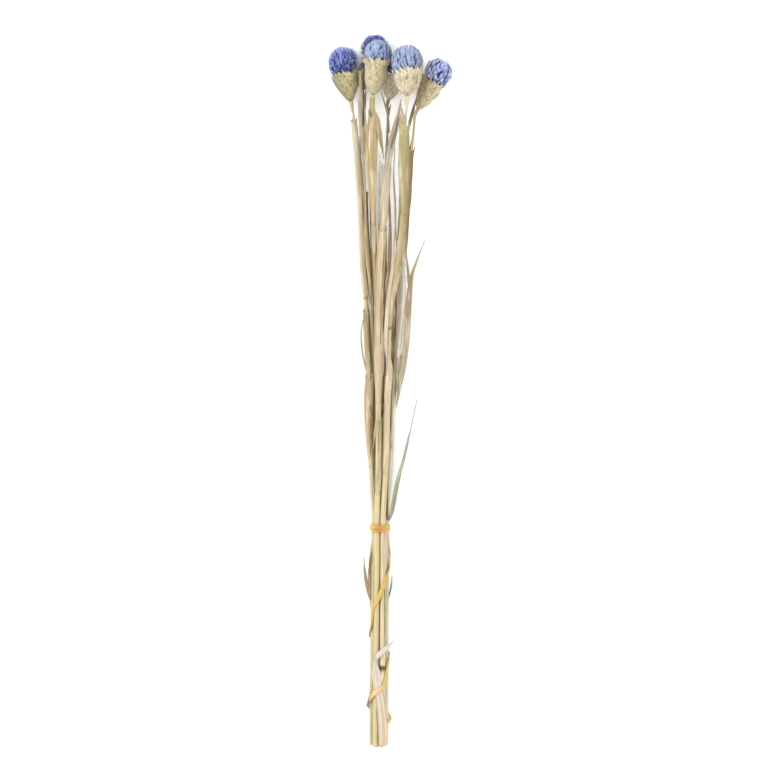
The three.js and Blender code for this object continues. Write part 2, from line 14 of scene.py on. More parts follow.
import bmesh
import bpy
import numpy as np
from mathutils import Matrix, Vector


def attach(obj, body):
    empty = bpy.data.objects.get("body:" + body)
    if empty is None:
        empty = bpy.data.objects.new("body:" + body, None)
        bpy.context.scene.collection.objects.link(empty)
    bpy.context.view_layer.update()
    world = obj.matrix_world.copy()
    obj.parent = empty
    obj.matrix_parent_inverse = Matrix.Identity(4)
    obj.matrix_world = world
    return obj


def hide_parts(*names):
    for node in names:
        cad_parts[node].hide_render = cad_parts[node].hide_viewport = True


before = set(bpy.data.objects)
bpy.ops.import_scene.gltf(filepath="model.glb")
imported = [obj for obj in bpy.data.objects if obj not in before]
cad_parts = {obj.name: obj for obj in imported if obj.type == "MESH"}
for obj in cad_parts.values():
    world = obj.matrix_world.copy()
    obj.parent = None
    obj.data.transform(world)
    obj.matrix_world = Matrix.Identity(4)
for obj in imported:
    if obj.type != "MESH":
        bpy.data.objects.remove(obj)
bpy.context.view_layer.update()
MM = 0.001

# %% [markdown]
# ## The camera
#
# The bunch was photographed from straight above, from far off, so nothing in it shows perspective. A very
# long lens gives the same flat view. The photograph is 780 by 781 pixels, and one pixel is 0.98 mm on the
# table, so its middle is a known point of the table and its height is a known length. The bunch is taken to
# be 700 mm long, which is a guess, and every other length follows from it.

# %% Set up the camera over the table
PHOTO_SIZE = (780, 781)
MM_PER_PIXEL = 0.98177
BAND_PIXEL = (380, 528)  # where the band, which is the model's origin, lies in the photograph
LENS = 900
SENSOR = 36
SCALE_LEVEL = 15  # height above the table at which a pixel is exactly MM_PER_PIXEL

camera = bpy.data.objects.new("camera", bpy.data.cameras.new("camera"))
camera.data.lens = LENS
camera.data.sensor_width = SENSOR
distance = PHOTO_SIZE[1] * MM_PER_PIXEL * LENS / SENSOR
camera.location = (
    (PHOTO_SIZE[0] / 2 - BAND_PIXEL[0]) * MM_PER_PIXEL * MM,
    (BAND_PIXEL[1] - PHOTO_SIZE[1] / 2) * MM_PER_PIXEL * MM,
    (distance + SCALE_LEVEL) * MM,
)
camera.data.clip_start, camera.data.clip_end = 1, 60
bpy.context.scene.collection.objects.link(camera)
bpy.context.scene.camera = camera
print(f"camera {distance / 1000:.1f} m above the bunch")

# %% [markdown]
# ## Colours and nodes
#
# Colours are written as sRGB hex values, as they are picked from a photograph, and one function turns them
# into the linear values that shaders count in. Another small function adds any shader node with its
# settings and its links, so each finish below reads as a short recipe.

# %% Helpers for colours and shader nodes
def linear(hex_colour):
    """An sRGB hex colour as linear red, green and blue."""
    values = [int(hex_colour.lstrip("#")[i:i + 2], 16) / 255 for i in (0, 2, 4)]
    return np.array([v / 12.92 if v <= 0.04045 else ((v + 0.055) / 1.055) ** 2.4 for v in values])


def add(tree, kind, settings=None, links=None):
    """One node with its settings, and what feeds its sockets, by name or number."""
    node = tree.nodes.new(kind)
    for key, value in (settings or {}).items():
        if isinstance(key, str) and hasattr(node, key):
            setattr(node, key, value)
        else:
            node.inputs[key].default_value = value
    for key, source in (links or {}).items():
        tree.links.new(source, node.inputs[key])
    return node


def start_finish(name):
    """A new material and its Principled shader."""
    material = bpy.data.materials.new(name)
    material.use_nodes = True
    return material, material.node_tree, material.node_tree.nodes["Principled BSDF"]


print("linear value of straw #D9C79A:", linear("#D9C79A").round(3))

# %% [markdown]
# ## The floor and the light
#
# The photograph shows the bunch on pure white, lit so softly that it hardly throws a shadow. A big, near
# white floor and an even world give that, and the world is so bright that the floor turns out pure white. A
# large lamp at the upper left gives each stem a light and a dark side, and a weak one at the lower right
# softens the dark side again.

# %% Make the floor, the world and the lamps
floor_finish, tree, shader = start_finish("matt_white_table")
shader.inputs["Base Color"].default_value = (*linear("#FBFBFA"), 1)
shader.inputs["Roughness"].default_value = 0.9
shader.inputs["Specular IOR Level"].default_value = 0.1
FLOOR_REACH = 4.0  # metres to each side
FLOOR_DROP = 0.2  # the floor lies this far under the model, so that their faces never coincide
floor_corners = [(x * FLOOR_REACH, y * FLOOR_REACH, 0) for x, y in ((-1, -1), (1, -1), (1, 1), (-1, 1))]
floor_mesh = bpy.data.meshes.new("floor")
floor_mesh.from_pydata(floor_corners, [], [(0, 1, 2, 3)])
floor_mesh.materials.append(floor_finish)
floor = bpy.data.objects.new("floor", floor_mesh)
floor.location.z = -FLOOR_DROP * MM
bpy.context.scene.collection.objects.link(floor)

ROOM_STRENGTH = 1.6
world = bpy.data.worlds.new("soft_white_room")
world.use_nodes = True
world.node_tree.nodes["Background"].inputs["Color"].default_value = (1, 1, 1, 1)
world.node_tree.nodes["Background"].inputs["Strength"].default_value = ROOM_STRENGTH
bpy.context.scene.world = world
bpy.context.scene.view_settings.view_transform = "Standard"

# Each lamp's name, its place and size in metres, and its power in watts.
LAMPS = (("key_lamp", (-1.1, 0.95, 1.5), 0.9, 17), ("fill_lamp", (1.3, -0.6, 1.9), 1.4, 2))
LAMP_AIM = (0, 0.2, 0)
for name, place, size, watts in LAMPS:
    lamp = bpy.data.objects.new(name, bpy.data.lights.new(name, "AREA"))
    lamp.data.size = size
    lamp.data.energy = watts
    lamp.location = place
    lamp.rotation_mode = "QUATERNION"
    lamp.rotation_quaternion = (Vector(LAMP_AIM) - Vector(place)).to_track_quat("-Z", "Y")
    bpy.context.scene.collection.objects.link(lamp)
print("floor, white world and two soft lamps")

# %% [markdown]
# ## Finishes that follow the piece
#
# Straw, bracts and petals all have a grain: fine lines that run along the piece, not along the world's
# axes. So each mesh below carries two values in its points. "grain" says in millimetres where a point lies
# across and along its own strip, with a number of its own for each strip, and drives the pattern. "tone" is
# the colour that the piece has there, picked from the photograph and then tuned. The patterns then
# make it lighter and darker.
# In some places the tone also carries painted shade and painted highlights, as said where they are made.

# %% Helpers that read grain and tone
def grain_noise(tree, across, along, detail=3, roughness=0.6):
    """Noise stretched along the grain: across and along are the size of a streak in millimetres."""
    grain = add(tree, "ShaderNodeAttribute", {"attribute_name": "grain"})
    scaled = add(tree, "ShaderNodeMapping", {"Scale": (1 / across, 1 / along, 1)},
                 {"Vector": grain.outputs["Vector"]})
    noise = add(tree, "ShaderNodeTexNoise", {"Scale": 1, "Detail": detail, "Roughness": roughness},
                {"Vector": scaled.outputs["Vector"]})
    return noise.outputs["Fac"]


def spread(tree, value, low, high, from_low=0.3, from_high=0.7):
    """A noise value stretched to the range low to high."""
    return add(tree, "ShaderNodeMapRange",
               {"From Min": from_low, "From Max": from_high, "To Min": low, "To Max": high},
               {"Value": value}).outputs["Result"]


def blend_to(tree, colour, hex_colour, amount):
    """A colour mixed towards another by a changing amount."""
    mixed = add(tree, "ShaderNodeMix", {"data_type": "RGBA", 7: (*linear(hex_colour), 1)},
                {0: amount, 6: colour})
    return mixed.outputs[2]


def shade(tree, colour, value):
    """A colour made lighter or darker by a changing value."""
    scaled = add(tree, "ShaderNodeVectorMath", {"operation": "SCALE"}, {"Vector": colour, "Scale": value})
    return scaled.outputs[0]


def relief(tree, shader, value, depth):
    """Bumps of the given depth in millimetres."""
    bump = add(tree, "ShaderNodeBump", {"Distance": depth * MM, "Strength": 1}, {"Height": value})
    tree.links.new(bump.outputs["Normal"], shader.inputs["Normal"])


def tone_of(tree):
    """The colour that the piece has at this point."""
    return add(tree, "ShaderNodeAttribute", {"attribute_name": "tone"}).outputs["Color"]


print("a streak 0.5 mm wide and 30 mm long is noise scaled by", 1 / 0.5, "and", round(1 / 30, 3))

# %% [markdown]
# ## Dry straw
#
# A dry flower stem is cellulose with a thin, waxy skin. Its vessels run lengthwise and show as fine ribs,
# about half a millimetre wide, lighter and darker. It weathers in long blotches, and bears brown streaks
# and small brown specks. Plant matter has an IOR near 1.45, no metal, and the wax leaves a soft sheen, so
# roughness is about 0.6.

# %% Make the straw finish
straw, tree, shader = start_finish("dry_waxy_straw")
ribs = grain_noise(tree, across=0.45, along=40)
blotches = grain_noise(tree, across=5, along=22, detail=2)
specks = grain_noise(tree, across=0.7, along=1.6, detail=1)
streaks = grain_noise(tree, across=0.8, along=55, detail=1)
colour = shade(tree, tone_of(tree), spread(tree, ribs, 0.76, 1.15))
colour = blend_to(tree, colour, "#A48A58", spread(tree, blotches, 0.0, 0.34, 0.45, 0.75))
colour = blend_to(tree, colour, "#87683A", spread(tree, streaks, 0.0, 0.55, 0.56, 0.7))
colour = blend_to(tree, colour, "#7A5B34", spread(tree, specks, 0.0, 0.6, 0.7, 0.8))
tree.links.new(colour, shader.inputs["Base Color"])
tree.links.new(spread(tree, ribs, 0.5, 0.72), shader.inputs["Roughness"])
shader.inputs["IOR"].default_value = 1.45
relief(tree, shader, ribs, 0.09)
print("dry_waxy_straw: ribs 0.45 mm wide")

# %% [markdown]
# ## Papery sheath and leaf
#
# A dry grass-like sheath or blade is a skin a quarter of a millimetre thick. Its veins show as fine light
# and dark lines, drawn here 0.4 mm wide, with brown streaks and specks between them. Dried leaf is duller
# than the stem, so its roughness is higher. Real leaf also lets a little light through, which is left out
# here.

# %% Make the sheath and leaf finish
papery, tree, shader = start_finish("papery_dry_leaf")
veins = grain_noise(tree, across=0.4, along=60, detail=4)
fading = grain_noise(tree, across=4, along=30, detail=2)
specks = grain_noise(tree, across=0.6, along=0.9, detail=1)
streaks = grain_noise(tree, across=0.9, along=70, detail=1)
colour = shade(tree, tone_of(tree), spread(tree, veins, 0.84, 1.16))
colour = blend_to(tree, colour, "#F1E6CC", spread(tree, fading, 0.0, 0.35, 0.5, 0.75))
colour = blend_to(tree, colour, "#93723F", spread(tree, streaks, 0.0, 0.6, 0.56, 0.7))
colour = blend_to(tree, colour, "#6F5230", spread(tree, specks, 0.0, 0.7, 0.74, 0.82))
tree.links.new(colour, shader.inputs["Base Color"])
tree.links.new(spread(tree, veins, 0.6, 0.8), shader.inputs["Roughness"])
shader.inputs["IOR"].default_value = 1.42
relief(tree, shader, veins, 0.07)
print("papery_dry_leaf: veins 0.4 mm wide")

# %% [markdown]
# ## Woolly bract
#
# The cup under a globe thistle head is covered in dry bracts, felted with short hairs that scatter light in
# all directions. So the finish is rough, and a little sheen brightens it towards the edges, as on felt. The
# hairs are 0.05 mm thick, which is too fine to show here, so they are drawn as streaks of 0.25 mm.

# %% Make the bract finish
woolly, tree, shader = start_finish("woolly_bract")
hairs = grain_noise(tree, across=0.25, along=1.3, detail=4)
felt = grain_noise(tree, across=1.4, along=1.9, detail=3)
colour = shade(tree, tone_of(tree), spread(tree, hairs, 0.72, 1.16))
colour = blend_to(tree, colour, "#8B7440", spread(tree, felt, 0.0, 0.5, 0.48, 0.72))
tree.links.new(colour, shader.inputs["Base Color"])
shader.inputs["Roughness"].default_value = 0.88
shader.inputs["IOR"].default_value = 1.45
shader.inputs["Sheen Weight"].default_value = 0.15
relief(tree, shader, hairs, 0.12)
print("woolly_bract: hairs drawn 0.25 mm wide")

# %% [markdown]
# ## Dyed petal
#
# The florets are dried and dyed blue. The dye sinks in unevenly, and fine veins show darker. Each petal is
# paler at its tip, partly from the dye and partly as painted shade: its root, deep in the ball, is painted
# darker. A dry petal is matt, and its fuzz gives it a weak sheen.

# %% Make the petal finish
petal, tree, shader = start_finish("dyed_dry_petal")
veins = grain_noise(tree, across=0.22, along=7, detail=3)
dye = grain_noise(tree, across=1.5, along=3.5, detail=2)
colour = shade(tree, tone_of(tree), spread(tree, veins, 0.8, 1.14))
colour = shade(tree, colour, spread(tree, dye, 0.86, 1.12))
tree.links.new(colour, shader.inputs["Base Color"])
shader.inputs["Roughness"].default_value = 0.78
shader.inputs["IOR"].default_value = 1.42
shader.inputs["Sheen Weight"].default_value = 0.12
relief(tree, shader, veins, 0.05)
print("dyed_dry_petal: veins 0.22 mm wide")

# %% [markdown]
# ## Rubber band
#
# A plain rubber band is cut from a tube of natural rubber. Its skin is smooth but not polished, with fine
# lines from the cutting, and a little bloom. Rubber has an IOR near 1.52, and roughness around 0.5 gives
# the soft shine of a stretched band.

# %% Make the rubber finish
rubber, tree, shader = start_finish("natural_rubber")
cut_lines = grain_noise(tree, across=0.3, along=30, detail=2)
dust = grain_noise(tree, across=1.2, along=2.5, detail=3)
colour = shade(tree, tone_of(tree), spread(tree, cut_lines, 0.9, 1.06))
colour = blend_to(tree, colour, "#F3DC9A", spread(tree, dust, 0.0, 0.3, 0.5, 0.75))
tree.links.new(colour, shader.inputs["Base Color"])
tree.links.new(spread(tree, dust, 0.4, 0.6), shader.inputs["Roughness"])
shader.inputs["IOR"].default_value = 1.52
relief(tree, shader, cut_lines, 0.04)
print("natural_rubber: cutting lines 0.3 mm wide")

# %% [markdown]
# ## From rows of points to a piece
#
# Nearly everything here is a strip, a skin or a tube, and each is a grid of points: rows along it, columns
# across it. One heap gathers such grids and joins their points with faces, and make_piece turns a full heap
# into one Blender mesh. A dry leaf has two faces and an edge, so a skin is made as a thin closed slab.
#
# The tones in this file were picked from the photograph and then tuned, over many renders. In a
# room bright enough for a pure white floor, things painted with them would look washed out. So PAINT makes
# every tone darker by the same factor before it goes into a mesh. It was found by comparing renders with
# the photograph.

# %% Helpers that gather grids into one mesh
PAINT = 0.65  # a material's tone, as a share of the tone that it shows in this bright room
TABLE_GAP = 0.05  # no point of a piece lies lower than this over the table
FLATTEN_UNDER = 1  # points lower than this are squeezed together above the gap


class Heap:
    """The grids of one piece, with the grain and tone of each point."""

    def __init__(self):
        self.points, self.grain, self.tone, self.faces, self.count = [], [], [], [], 0

    def put(self, points, grain, tone):
        """Adds points of shape (rows, columns, 3) and returns their numbers."""
        rows, columns = points.shape[:2]
        self.points.append(points.reshape(-1, 3))
        self.grain.append(np.broadcast_to(grain, points.shape).reshape(-1, 3))
        self.tone.append(np.broadcast_to(tone, points.shape).reshape(-1, 3))
        numbers = np.arange(rows * columns).reshape(rows, columns) + self.count
        self.count += rows * columns
        return numbers

    def join(self, numbers):
        """Quads between neighbouring rows and columns."""
        quads = np.stack([numbers[:-1, :-1], numbers[:-1, 1:], numbers[1:, 1:], numbers[1:, :-1]], -1)
        self.faces.extend(quads.reshape(-1, 4).tolist())

    def tube(self, points, grain, tone, ends=(True, True)):
        """A closed tube: each row is a ring of points."""
        numbers = self.put(points, grain, tone)
        self.join(np.concatenate([numbers, numbers[:, :1]], 1))
        for wanted, ring in zip(ends, (numbers[0][::-1], numbers[-1])):
            if wanted:
                self.faces.append(ring.tolist())

    def slab(self, top, thickness, grain, tone):
        """A thin closed skin under a grid of points, its under face painted darker as shade."""
        grain, tone = np.broadcast_to(grain, top.shape), np.broadcast_to(tone, top.shape)
        normal = unit(np.cross(np.gradient(top, axis=0), np.gradient(top, axis=1)))
        # The under face gets 0.8 of the tone, as painted shade under the skin.
        both = [np.concatenate([a, b[:, ::-1]], 1)
                for a, b in ((top, top - normal * thickness), (grain, grain), (tone, tone * 0.8))]
        numbers = self.put(*both)
        columns = top.shape[1]
        self.join(np.concatenate([numbers, numbers[:, :1]], 1))
        for row, order in ((0, 1), (-1, -1)):
            upper, lower = numbers[row, :columns], numbers[row, columns:][::-1]
            self.join(np.stack([upper, lower])[::order])


def unit(vectors):
    """The same directions with length 1."""
    return vectors / np.maximum(np.linalg.norm(vectors, axis=-1, keepdims=True), 1e-9)


def ramp(value, low, high):
    """0 below low, 1 above high, and smooth between."""
    t = np.clip((np.asarray(value, float) - low) / (high - low), 0, 1)
    return t * t * (3 - 2 * t)


def make_piece(name, heap, finish, nodes, sharp=50):
    """Turns a heap into a mesh object that rides on the model and stands for its CAD nodes."""
    mesh = bpy.data.meshes.new(name)
    points = np.concatenate(heap.points)
    low = points[:, 2] < FLATTEN_UNDER
    points[low, 2] = TABLE_GAP + (FLATTEN_UNDER - TABLE_GAP) * np.exp(points[low, 2] - FLATTEN_UNDER)
    mesh.from_pydata((points * MM).tolist(), [], heap.faces)
    solid = bmesh.new()
    solid.from_mesh(mesh)
    bmesh.ops.recalc_face_normals(solid, faces=solid.faces)
    solid.to_mesh(mesh)
    solid.free()
    for key, kind, values in (("grain", "FLOAT_VECTOR", np.concatenate(heap.grain)),
                              ("tone", "FLOAT_COLOR", np.concatenate(heap.tone) * PAINT)):
        layer = mesh.attributes.new(key, kind, "POINT")
        if kind == "FLOAT_COLOR":
            values = np.concatenate([values, np.ones((len(values), 1))], 1)
            layer.data.foreach_set("color", values.astype(np.float32).ravel())
        else:
            layer.data.foreach_set("vector", values.astype(np.float32).ravel())
    mesh.shade_smooth()
    mesh.set_sharp_from_angle(angle=math.radians(sharp))
    mesh.materials.append(finish)
    piece = bpy.data.objects.new(name, mesh)
    bpy.context.scene.collection.objects.link(piece)
    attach(piece, "root")
    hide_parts(*nodes)
    print(f"{name}: {len(mesh.polygons)} faces")
    return piece


print("helpers ready")

# %% [markdown]
# ## The seven thistles in numbers
#
# Each stem starts in its own place in the imported bunch, at the cut end, runs through the tie and then along
# its own route to the neck of its head. Routes, heads, joints, sheaths and the lines of blades repeat the
# CAD model's numbers, so that each fine piece lies where its solid does. Two blades were drawn with another
# width than their solids: the second of stem 1, which is narrower and less turned, and the third of stem 7,
# which is wider. Colours, the way a sheath opens and thin wisps of leaf are added here. Some dark wisps are
# painted shade: dark strips laid where shadow falls between stems, as marked below. Each wisp touches a
# stem, a sheath or another leaf somewhere along it, so that none floats.
#
# The route is the stem's middle line above the tie, nodes are the places of its joints along Y, and culm
# gives its tones from the cut end to the head. A sheath is (from y, to y, half width, the angle of its
# slit, its tones below, above and at its edges, and the length over which it opens). A blade or wisp is
# (line, width, roll, its tones at foot and tip, the width of its foot as a share of its width, and the
# share of its length where it starts to narrow). The last values may be left out.

# %% List the thistles
THISTLES = {
    "1": dict(
        slot=(-1, 0), cut=2, neck=(-28.9, 419, 14.1), ball=(-36.4, 458, 15.2), radius=15,
        rim=13.3, barrel=0.1,
        route=[(-8.6, 57, 9.4), (-11, 106, 10), (-10.8, 148, 10.8), (-12.8, 190, 12), (-14.1, 226, 12.5),
               (-16.2, 263, 13), (-17.8, 302, 13.4), (-19.8, 332, 13.6), (-22.7, 371, 13.8),
               (-25.4, 401, 14.2)],
        nodes=[60, 148, 226], culm=["#D2C598", "#E0D4AA", "#DAD0A2", "#DBCEAC"],
        sheaths=[
            (66, 144, 4.8, 205, "#D8C59E", "#DECCA6", "#C3A67A", 70),
            (150, 214, 3.2, 30, "#D9D2A6", "#CFC698", "#B3A678"),
            (228, 400, 3.7, -22, "#EBE0BE", "#F8F0DA", "#B7A274"),
        ],
        blades=[
            ([(-12.5, 150, 11.5), (-17.2, 172, 13), (-18.6, 192, 14), (-15.6, 210, 17)],
             1.6, 0, "#D2C6B4", "#DDD3C4"),
            ([(-7.2, -76, 11), (-12, -60, 11.6), (-14.7, -44, 12), (-16, -28.5, 12.4)],
             3.4, 0.3, "#C3A06C", "#A9A188"),
        ],
        wisps=[
            ([(-9.4, 120, 13.4), (-8.5, 105, 14.8), (-8.7, 90, 14.6), (-9.8, 70, 12.2)],
             2.8, 0.3, "#A58445", "#C09355"),
            ([(-8, -24, 12.6), (-10.4, -42, 12.8), (-10.6, -56, 12.6), (-9.6, -70, 12)],
             2.4, 0.3, "#A98A56", "#B9A274"),
            ([(-7.4, -12, 11.4), (-9.2, -34, 11.6), (-9.6, -58, 11.2), (-8.4, -88, 10.4)],
             3.6, 0, "#CDBD8E", "#C6B482"),
            ([(-8.4, -161, 12.6), (-10.6, -169, 14), (-13.4, -176, 14.6)], 2.8, 0, "#B9AE96", "#9A9188"),
        ],
    ),
    "2": dict(
        slot=(0, 0), cut=1, neck=(-7, 425, 39.4), ball=(-2, 465.6, 40.2), radius=13.4,
        rim=10.9, barrel=0.7,
        route=[(-0.4, 57, 10.3), (-1.5, 96, 11.5), (-1.8, 148, 14.2), (-2.4, 194, 18), (-3.4, 234, 21),
               (-5.2, 264, 24), (-6.2, 283, 26.6), (-6.9, 322, 31.2), (-8.4, 366, 35.4), (-7.5, 402, 38.2)],
        nodes=[40, 264], culm=["#C9BA88", "#D8C99C", "#B9A77A", "#D3C08C"],
        sheaths=[
            (42, 180, 2.8, 200, "#D2C796", "#D8C8A4", "#A8966A", 70),
            (380, 422, 2.5, 200, "#D9C6A0", "#C6B384", "#B09C70"),
            (266, 297, 2.5, 170, "#E2D4B0", "#E2D2AC", "#C7B48C"),
            (296, 404, 6, 215, "#DCBE92", "#D0B284", "#A89666", 90),
        ],
        blades=[
            ([(-7.2, 412, 39.4), (-2.8, 402, 41.6), (-0.6, 390, 41.8), (1.6, 376, 41.4), (4, 362, 40.4)],
             4.4, -0.3, "#C2B386", "#A08C62"),
            ([(-11.2, 346, 33.6), (-13, 366, 36.4), (-13.7, 388, 38), (-15.2, 416, 38.6)],
             3.4, 0, "#C9A870", "#A07A4C"),
        ],
        wisps=[
            ([(-7.2, 398, 38.6), (-8.6, 404, 41), (-10, 409, 41.4)], 1.9, 0, "#847454", "#6F6248"),
            ([(-1.6, 288, 27), (-0.9, 304, 30), (-0.7, 332, 33), (0.1, 360, 36)],
             1.1, 0, "#B2AE94", "#C9C6B2"),
            ([(-9.6, 352, 36), (-10.4, 372, 38), (-9.6, 392, 40), (-7.8, 408, 41.4)],
             1.7, 0.2, "#F0DDB8", "#F3E6C8"),
            ([(-5.2, 350, 36.2), (-4.4, 372, 38.2), (-4.6, 392, 40)], 2, -0.2, "#C6BC8E", "#D9D0A6"),
        ],
    ),
    "3": dict(
        slot=(0.5, 1), cut=0, neck=(26.6, 424, 45.4), ball=(26.6, 458.4, 47.4), radius=15.6,
        rim=13.4, barrel=0.35,
        route=[(5.4, 57, 17), (6.6, 96, 19), (7.2, 126, 20.5), (8.4, 165, 22.5), (9.6, 200, 24.4),
               (11.6, 226, 26.4), (15, 244, 27.8), (18.4, 264, 29.4), (21.2, 284, 31.4), (22.8, 306, 34),
               (23.3, 361, 39.4), (24.8, 396, 43)],
        nodes=[-138, 52, 196], culm=["#EBDCBC", "#E8D4AC", "#CFC08C", "#DCD2B6"],
        sheaths=[
            (54, 150, 2.9, -90, "#E9D2A8", "#EBD9B8", "#BFA273", 60),
            (198, 308, 3.3, -30, "#D6BA8C", "#CDBB8C", "#A3966A", 50),
            (290, 396, 5.2, -30, "#BDB07C", "#BDB786", "#A19A6C", 76),
        ],
        blades=[
            ([(7, 112, 21), (7.4, 134, 25.6), (9.8, 156, 27), (8.4, 178, 27.6)],
             6.4, -0.25, "#E9D8B4", "#E6D2B4"),
            ([(22.4, 380, 41.6), (22, 396, 45.4), (21.6, 412, 47)], 7.4, 0.1, "#CDC08E", "#BFAE84"),
            ([(24, 380, 41), (28.2, 394, 39), (32.4, 410, 35), (36.4, 424, 31)],
             2.8, 0, "#8C8C72", "#63664F"),
            ([(17.6, 266, 29.4), (15.4, 290, 29.8), (14.9, 318, 31), (13.4, 344, 33), (14.6, 374, 36)],
             1.5, 0, "#D6C4B0", "#A59A80"),
            ([(7.4, 160, 24.2), (6, 176, 25.8), (5.9, 192, 27.2), (6.8, 208, 28.4), (8.4, 226, 29.4),
              (10.8, 244, 30), (13.2, 262, 30.8), (14.2, 284, 31.8), (15.2, 302, 33)],
             3.9, 0, "#EBDAB6", "#E2CCB8"),
        ],
        wisps=[
            ([(17.4, 282, 32), (18.8, 300, 34), (19.8, 322, 36.4), (19.3, 353, 39.6)],
             2.2, 0, "#8F8158", "#A39A74"),
            ([(12.9, 232, 27.4), (13.6, 216, 25.6), (12.6, 200, 24.8), (10.9, 184, 24.4)],
             3.4, 0.3, "#7E6A40", "#6F5C36"),
            ([(3.1, -213, 19.2), (2.6, -192, 19.4), (0.8, -172, 19.3), (-1.6, -158, 19.3),
              (-4, -142, 19.8), (-5, -127, 20.2)],
             9, 0, "#F2DDC0", "#F0E4CE", 1, 0.74),
            ([(4.4, -60, 17.8), (4.5, -90, 17.6), (4.2, -120, 17.6)], 0.9, 0, "#A39A62", "#A89E6A"),
            ([(8.5, 88, 16.4), (9.9, 100, 15.7), (10.4, 112, 16), (10.8, 136, 17)],
             1.8, 0, "#6F5A32", "#8A7448"),
        ],
    ),
    "4": dict(
        slot=(0.5, -1), cut=4, neck=(-6.4, 430, 12.8), ball=(-5, 471.2, 13.4), radius=13.7,
        rim=9.8, barrel=0.3,
        route=[(2.6, 57, 4.4), (2, 96, 4.6), (1.2, 145, 5), (-1.8, 194, 6), (-5.2, 243, 8),
               (-6.6, 283, 9), (-7.4, 322, 10), (-8.2, 361, 11), (-7.2, 400, 12)],
        nodes=[128, 243], culm=["#C9BA8A", "#D0C08E", "#C8B886", "#BDAE7C"],
        sheaths=[
            (130, 196, 2.8, 0, "#CDBC8C", "#CDBC8C", "#A8986A"),
            (245, 372, 3, 160, "#CFC298", "#BFB084", "#8F8058"),
        ],
        blades=[],
        wisps=[],
    ),
    "5": dict(
        slot=(-0.5, 1), cut=-0.2, neck=(8.4, 420.5, 12.4), ball=(16.2, 454.4, 12.1), radius=12.3,
        rim=9.6, barrel=0.55,
        route=[(-1.7, 57, 17), (-1.5, 106, 20), (-1.2, 155, 23.5), (-1.2, 194, 26), (-0.6, 234, 28),
               (1.2, 270, 28), (2.9, 302, 26), (4.3, 325, 24), (5.8, 345, 21.6), (6.4, 364, 19),
               (7.2, 385, 16.4), (7.8, 404, 13.6)],
        nodes=[-130, 33, 122], culm=["#D3C592", "#DFD2A2", "#E3CFA2", "#8F835E"],
        sheaths=[
            (35, 104, 3, 150, "#D8CDA0", "#D9C69C", "#BCA673"),
            (284, 356, 4.4, -60, "#E9DAB8", "#F3E7CC", "#C9B48E"),
            (124, 292, 4, 225, "#DFCDA8", "#E4CFAE", "#C0A27C"),
        ],
        blades=[
            ([(5.8, 338, 22.4), (7, 350, 23.2), (8.2, 360, 24), (9.9, 370, 25), (11.9, 380, 26.2),
              (14.4, 390, 27.4), (16.4, 400, 28.4), (18.7, 410, 29.4), (20.6, 421, 30.4)],
             6.4, 0, "#F0E3C8", "#D2BFA6"),
            ([(2, 188, 25.8), (4.6, 206, 26.2), (5.4, 224, 27), (7.6, 244, 27.4), (9.2, 262, 27),
              (9.8, 283, 25.6), (9.8, 302, 24), (9.2, 322, 22.4), (9.4, 344, 20.4)],
             3.6, 0, "#A38A60", "#9A8660"),
            ([(-4.4, -130, 18), (-1.6, -124.8, 22), (6.4, -117.6, 23.2), (14.2, -110.2, 22.6)],
             4.8, 0, "#FBF4E8", "#F3EEE6"),
        ],
        wisps=[
            ([(9.2, 388, 14), (7.8, 404, 18), (4.8, 416, 22), (1.2, 428, 25)],
             1.3, 0, "#B3A67E", "#9A8E6A"),
            ([(8, 402, 17), (9, 410, 18), (10.6, 416, 18)], 1.6, 0, "#9A9068", "#8A845C"),
            ([(9.9, 370, 25), (12.8, 381, 28.4), (15.6, 392, 29.4), (18, 402, 30.2), (20.8, 416, 31.4)],
             1.3, 0.2, "#BDA688", "#A58F7A"),
            ([(0.4, 180, 28), (1.6, 214, 30.4), (2.6, 246, 31), (4.2, 276, 30)],
             1.8, 0.2, "#C2A67C", "#A98E66"),
            ([(6.8, -3, 18.6), (5.8, -16, 18.4), (5, -34, 18.4), (4.6, -60, 18.2)],
             3.8, 0, "#EACDB6", "#E6D0B0"),
            ([(-1.3, 120, 22.8), (-3, 108, 23.6), (-5.2, 92, 22), (-7, 76, 18)],
             2, 0.2, "#C9CBA6", "#B9BA9A"),
        ],
    ),
    "6": dict(
        slot=(-0.5, -1), cut=3, neck=(-16.4, 430, 22.6), ball=(-16, 452, 23.8), radius=5.4,
        rim=5.4, barrel=0.8,
        route=[(-3.6, 57, 4.4), (-4.4, 96, 4.8), (-5, 148, 7), (-6.3, 185, 11.8), (-9, 226, 18),
               (-11.5, 263, 22.6), (-14, 302, 25.2), (-15.4, 342, 26.4), (-17.2, 376, 25.6),
               (-17.8, 402, 23.6)],
        nodes=[78, 212], culm=["#C2B380", "#B5A67A", "#A39570", "#E9DFC4"],
        sheaths=[
            (214, 330, 2.6, 90, "#B7A276", "#A59062", "#7F6A48"),
            (366, 427, 2.9, -35, "#EADFC6", "#E0CCB2", "#7E6E54"),
        ],
        blades=[
            ([(-9.4, 232, 19.6), (-12.4, 262, 26.6), (-15, 296, 30.4), (-15.4, 322, 31.4)],
             2.6, 0.3, "#C9AC7C", "#A98E5C"),
            ([(-17.2, 380, 25.6), (-18.4, 396, 28.8), (-19, 420, 30.4), (-19.2, 448, 31)],
             5.2, 0, "#E2D2B8", "#C4A88C"),
        ],
        wisps=[
            # A dark strip between stems 1 and 6: partly a sheath's dark edge, partly painted shadow between
            # them.
            ([(-15, 308, 26.5), (-17.2, 337, 28.6), (-18.9, 361, 29), (-20, 384, 29)],
             1.8, 0, "#8C7750", "#9A8A66"),
            ([(-16.8, 388, 26.3), (-16.6, 397, 29.2), (-16.4, 412, 31), (-16.2, 432, 31.4),
              (-16.4, 450, 31)],
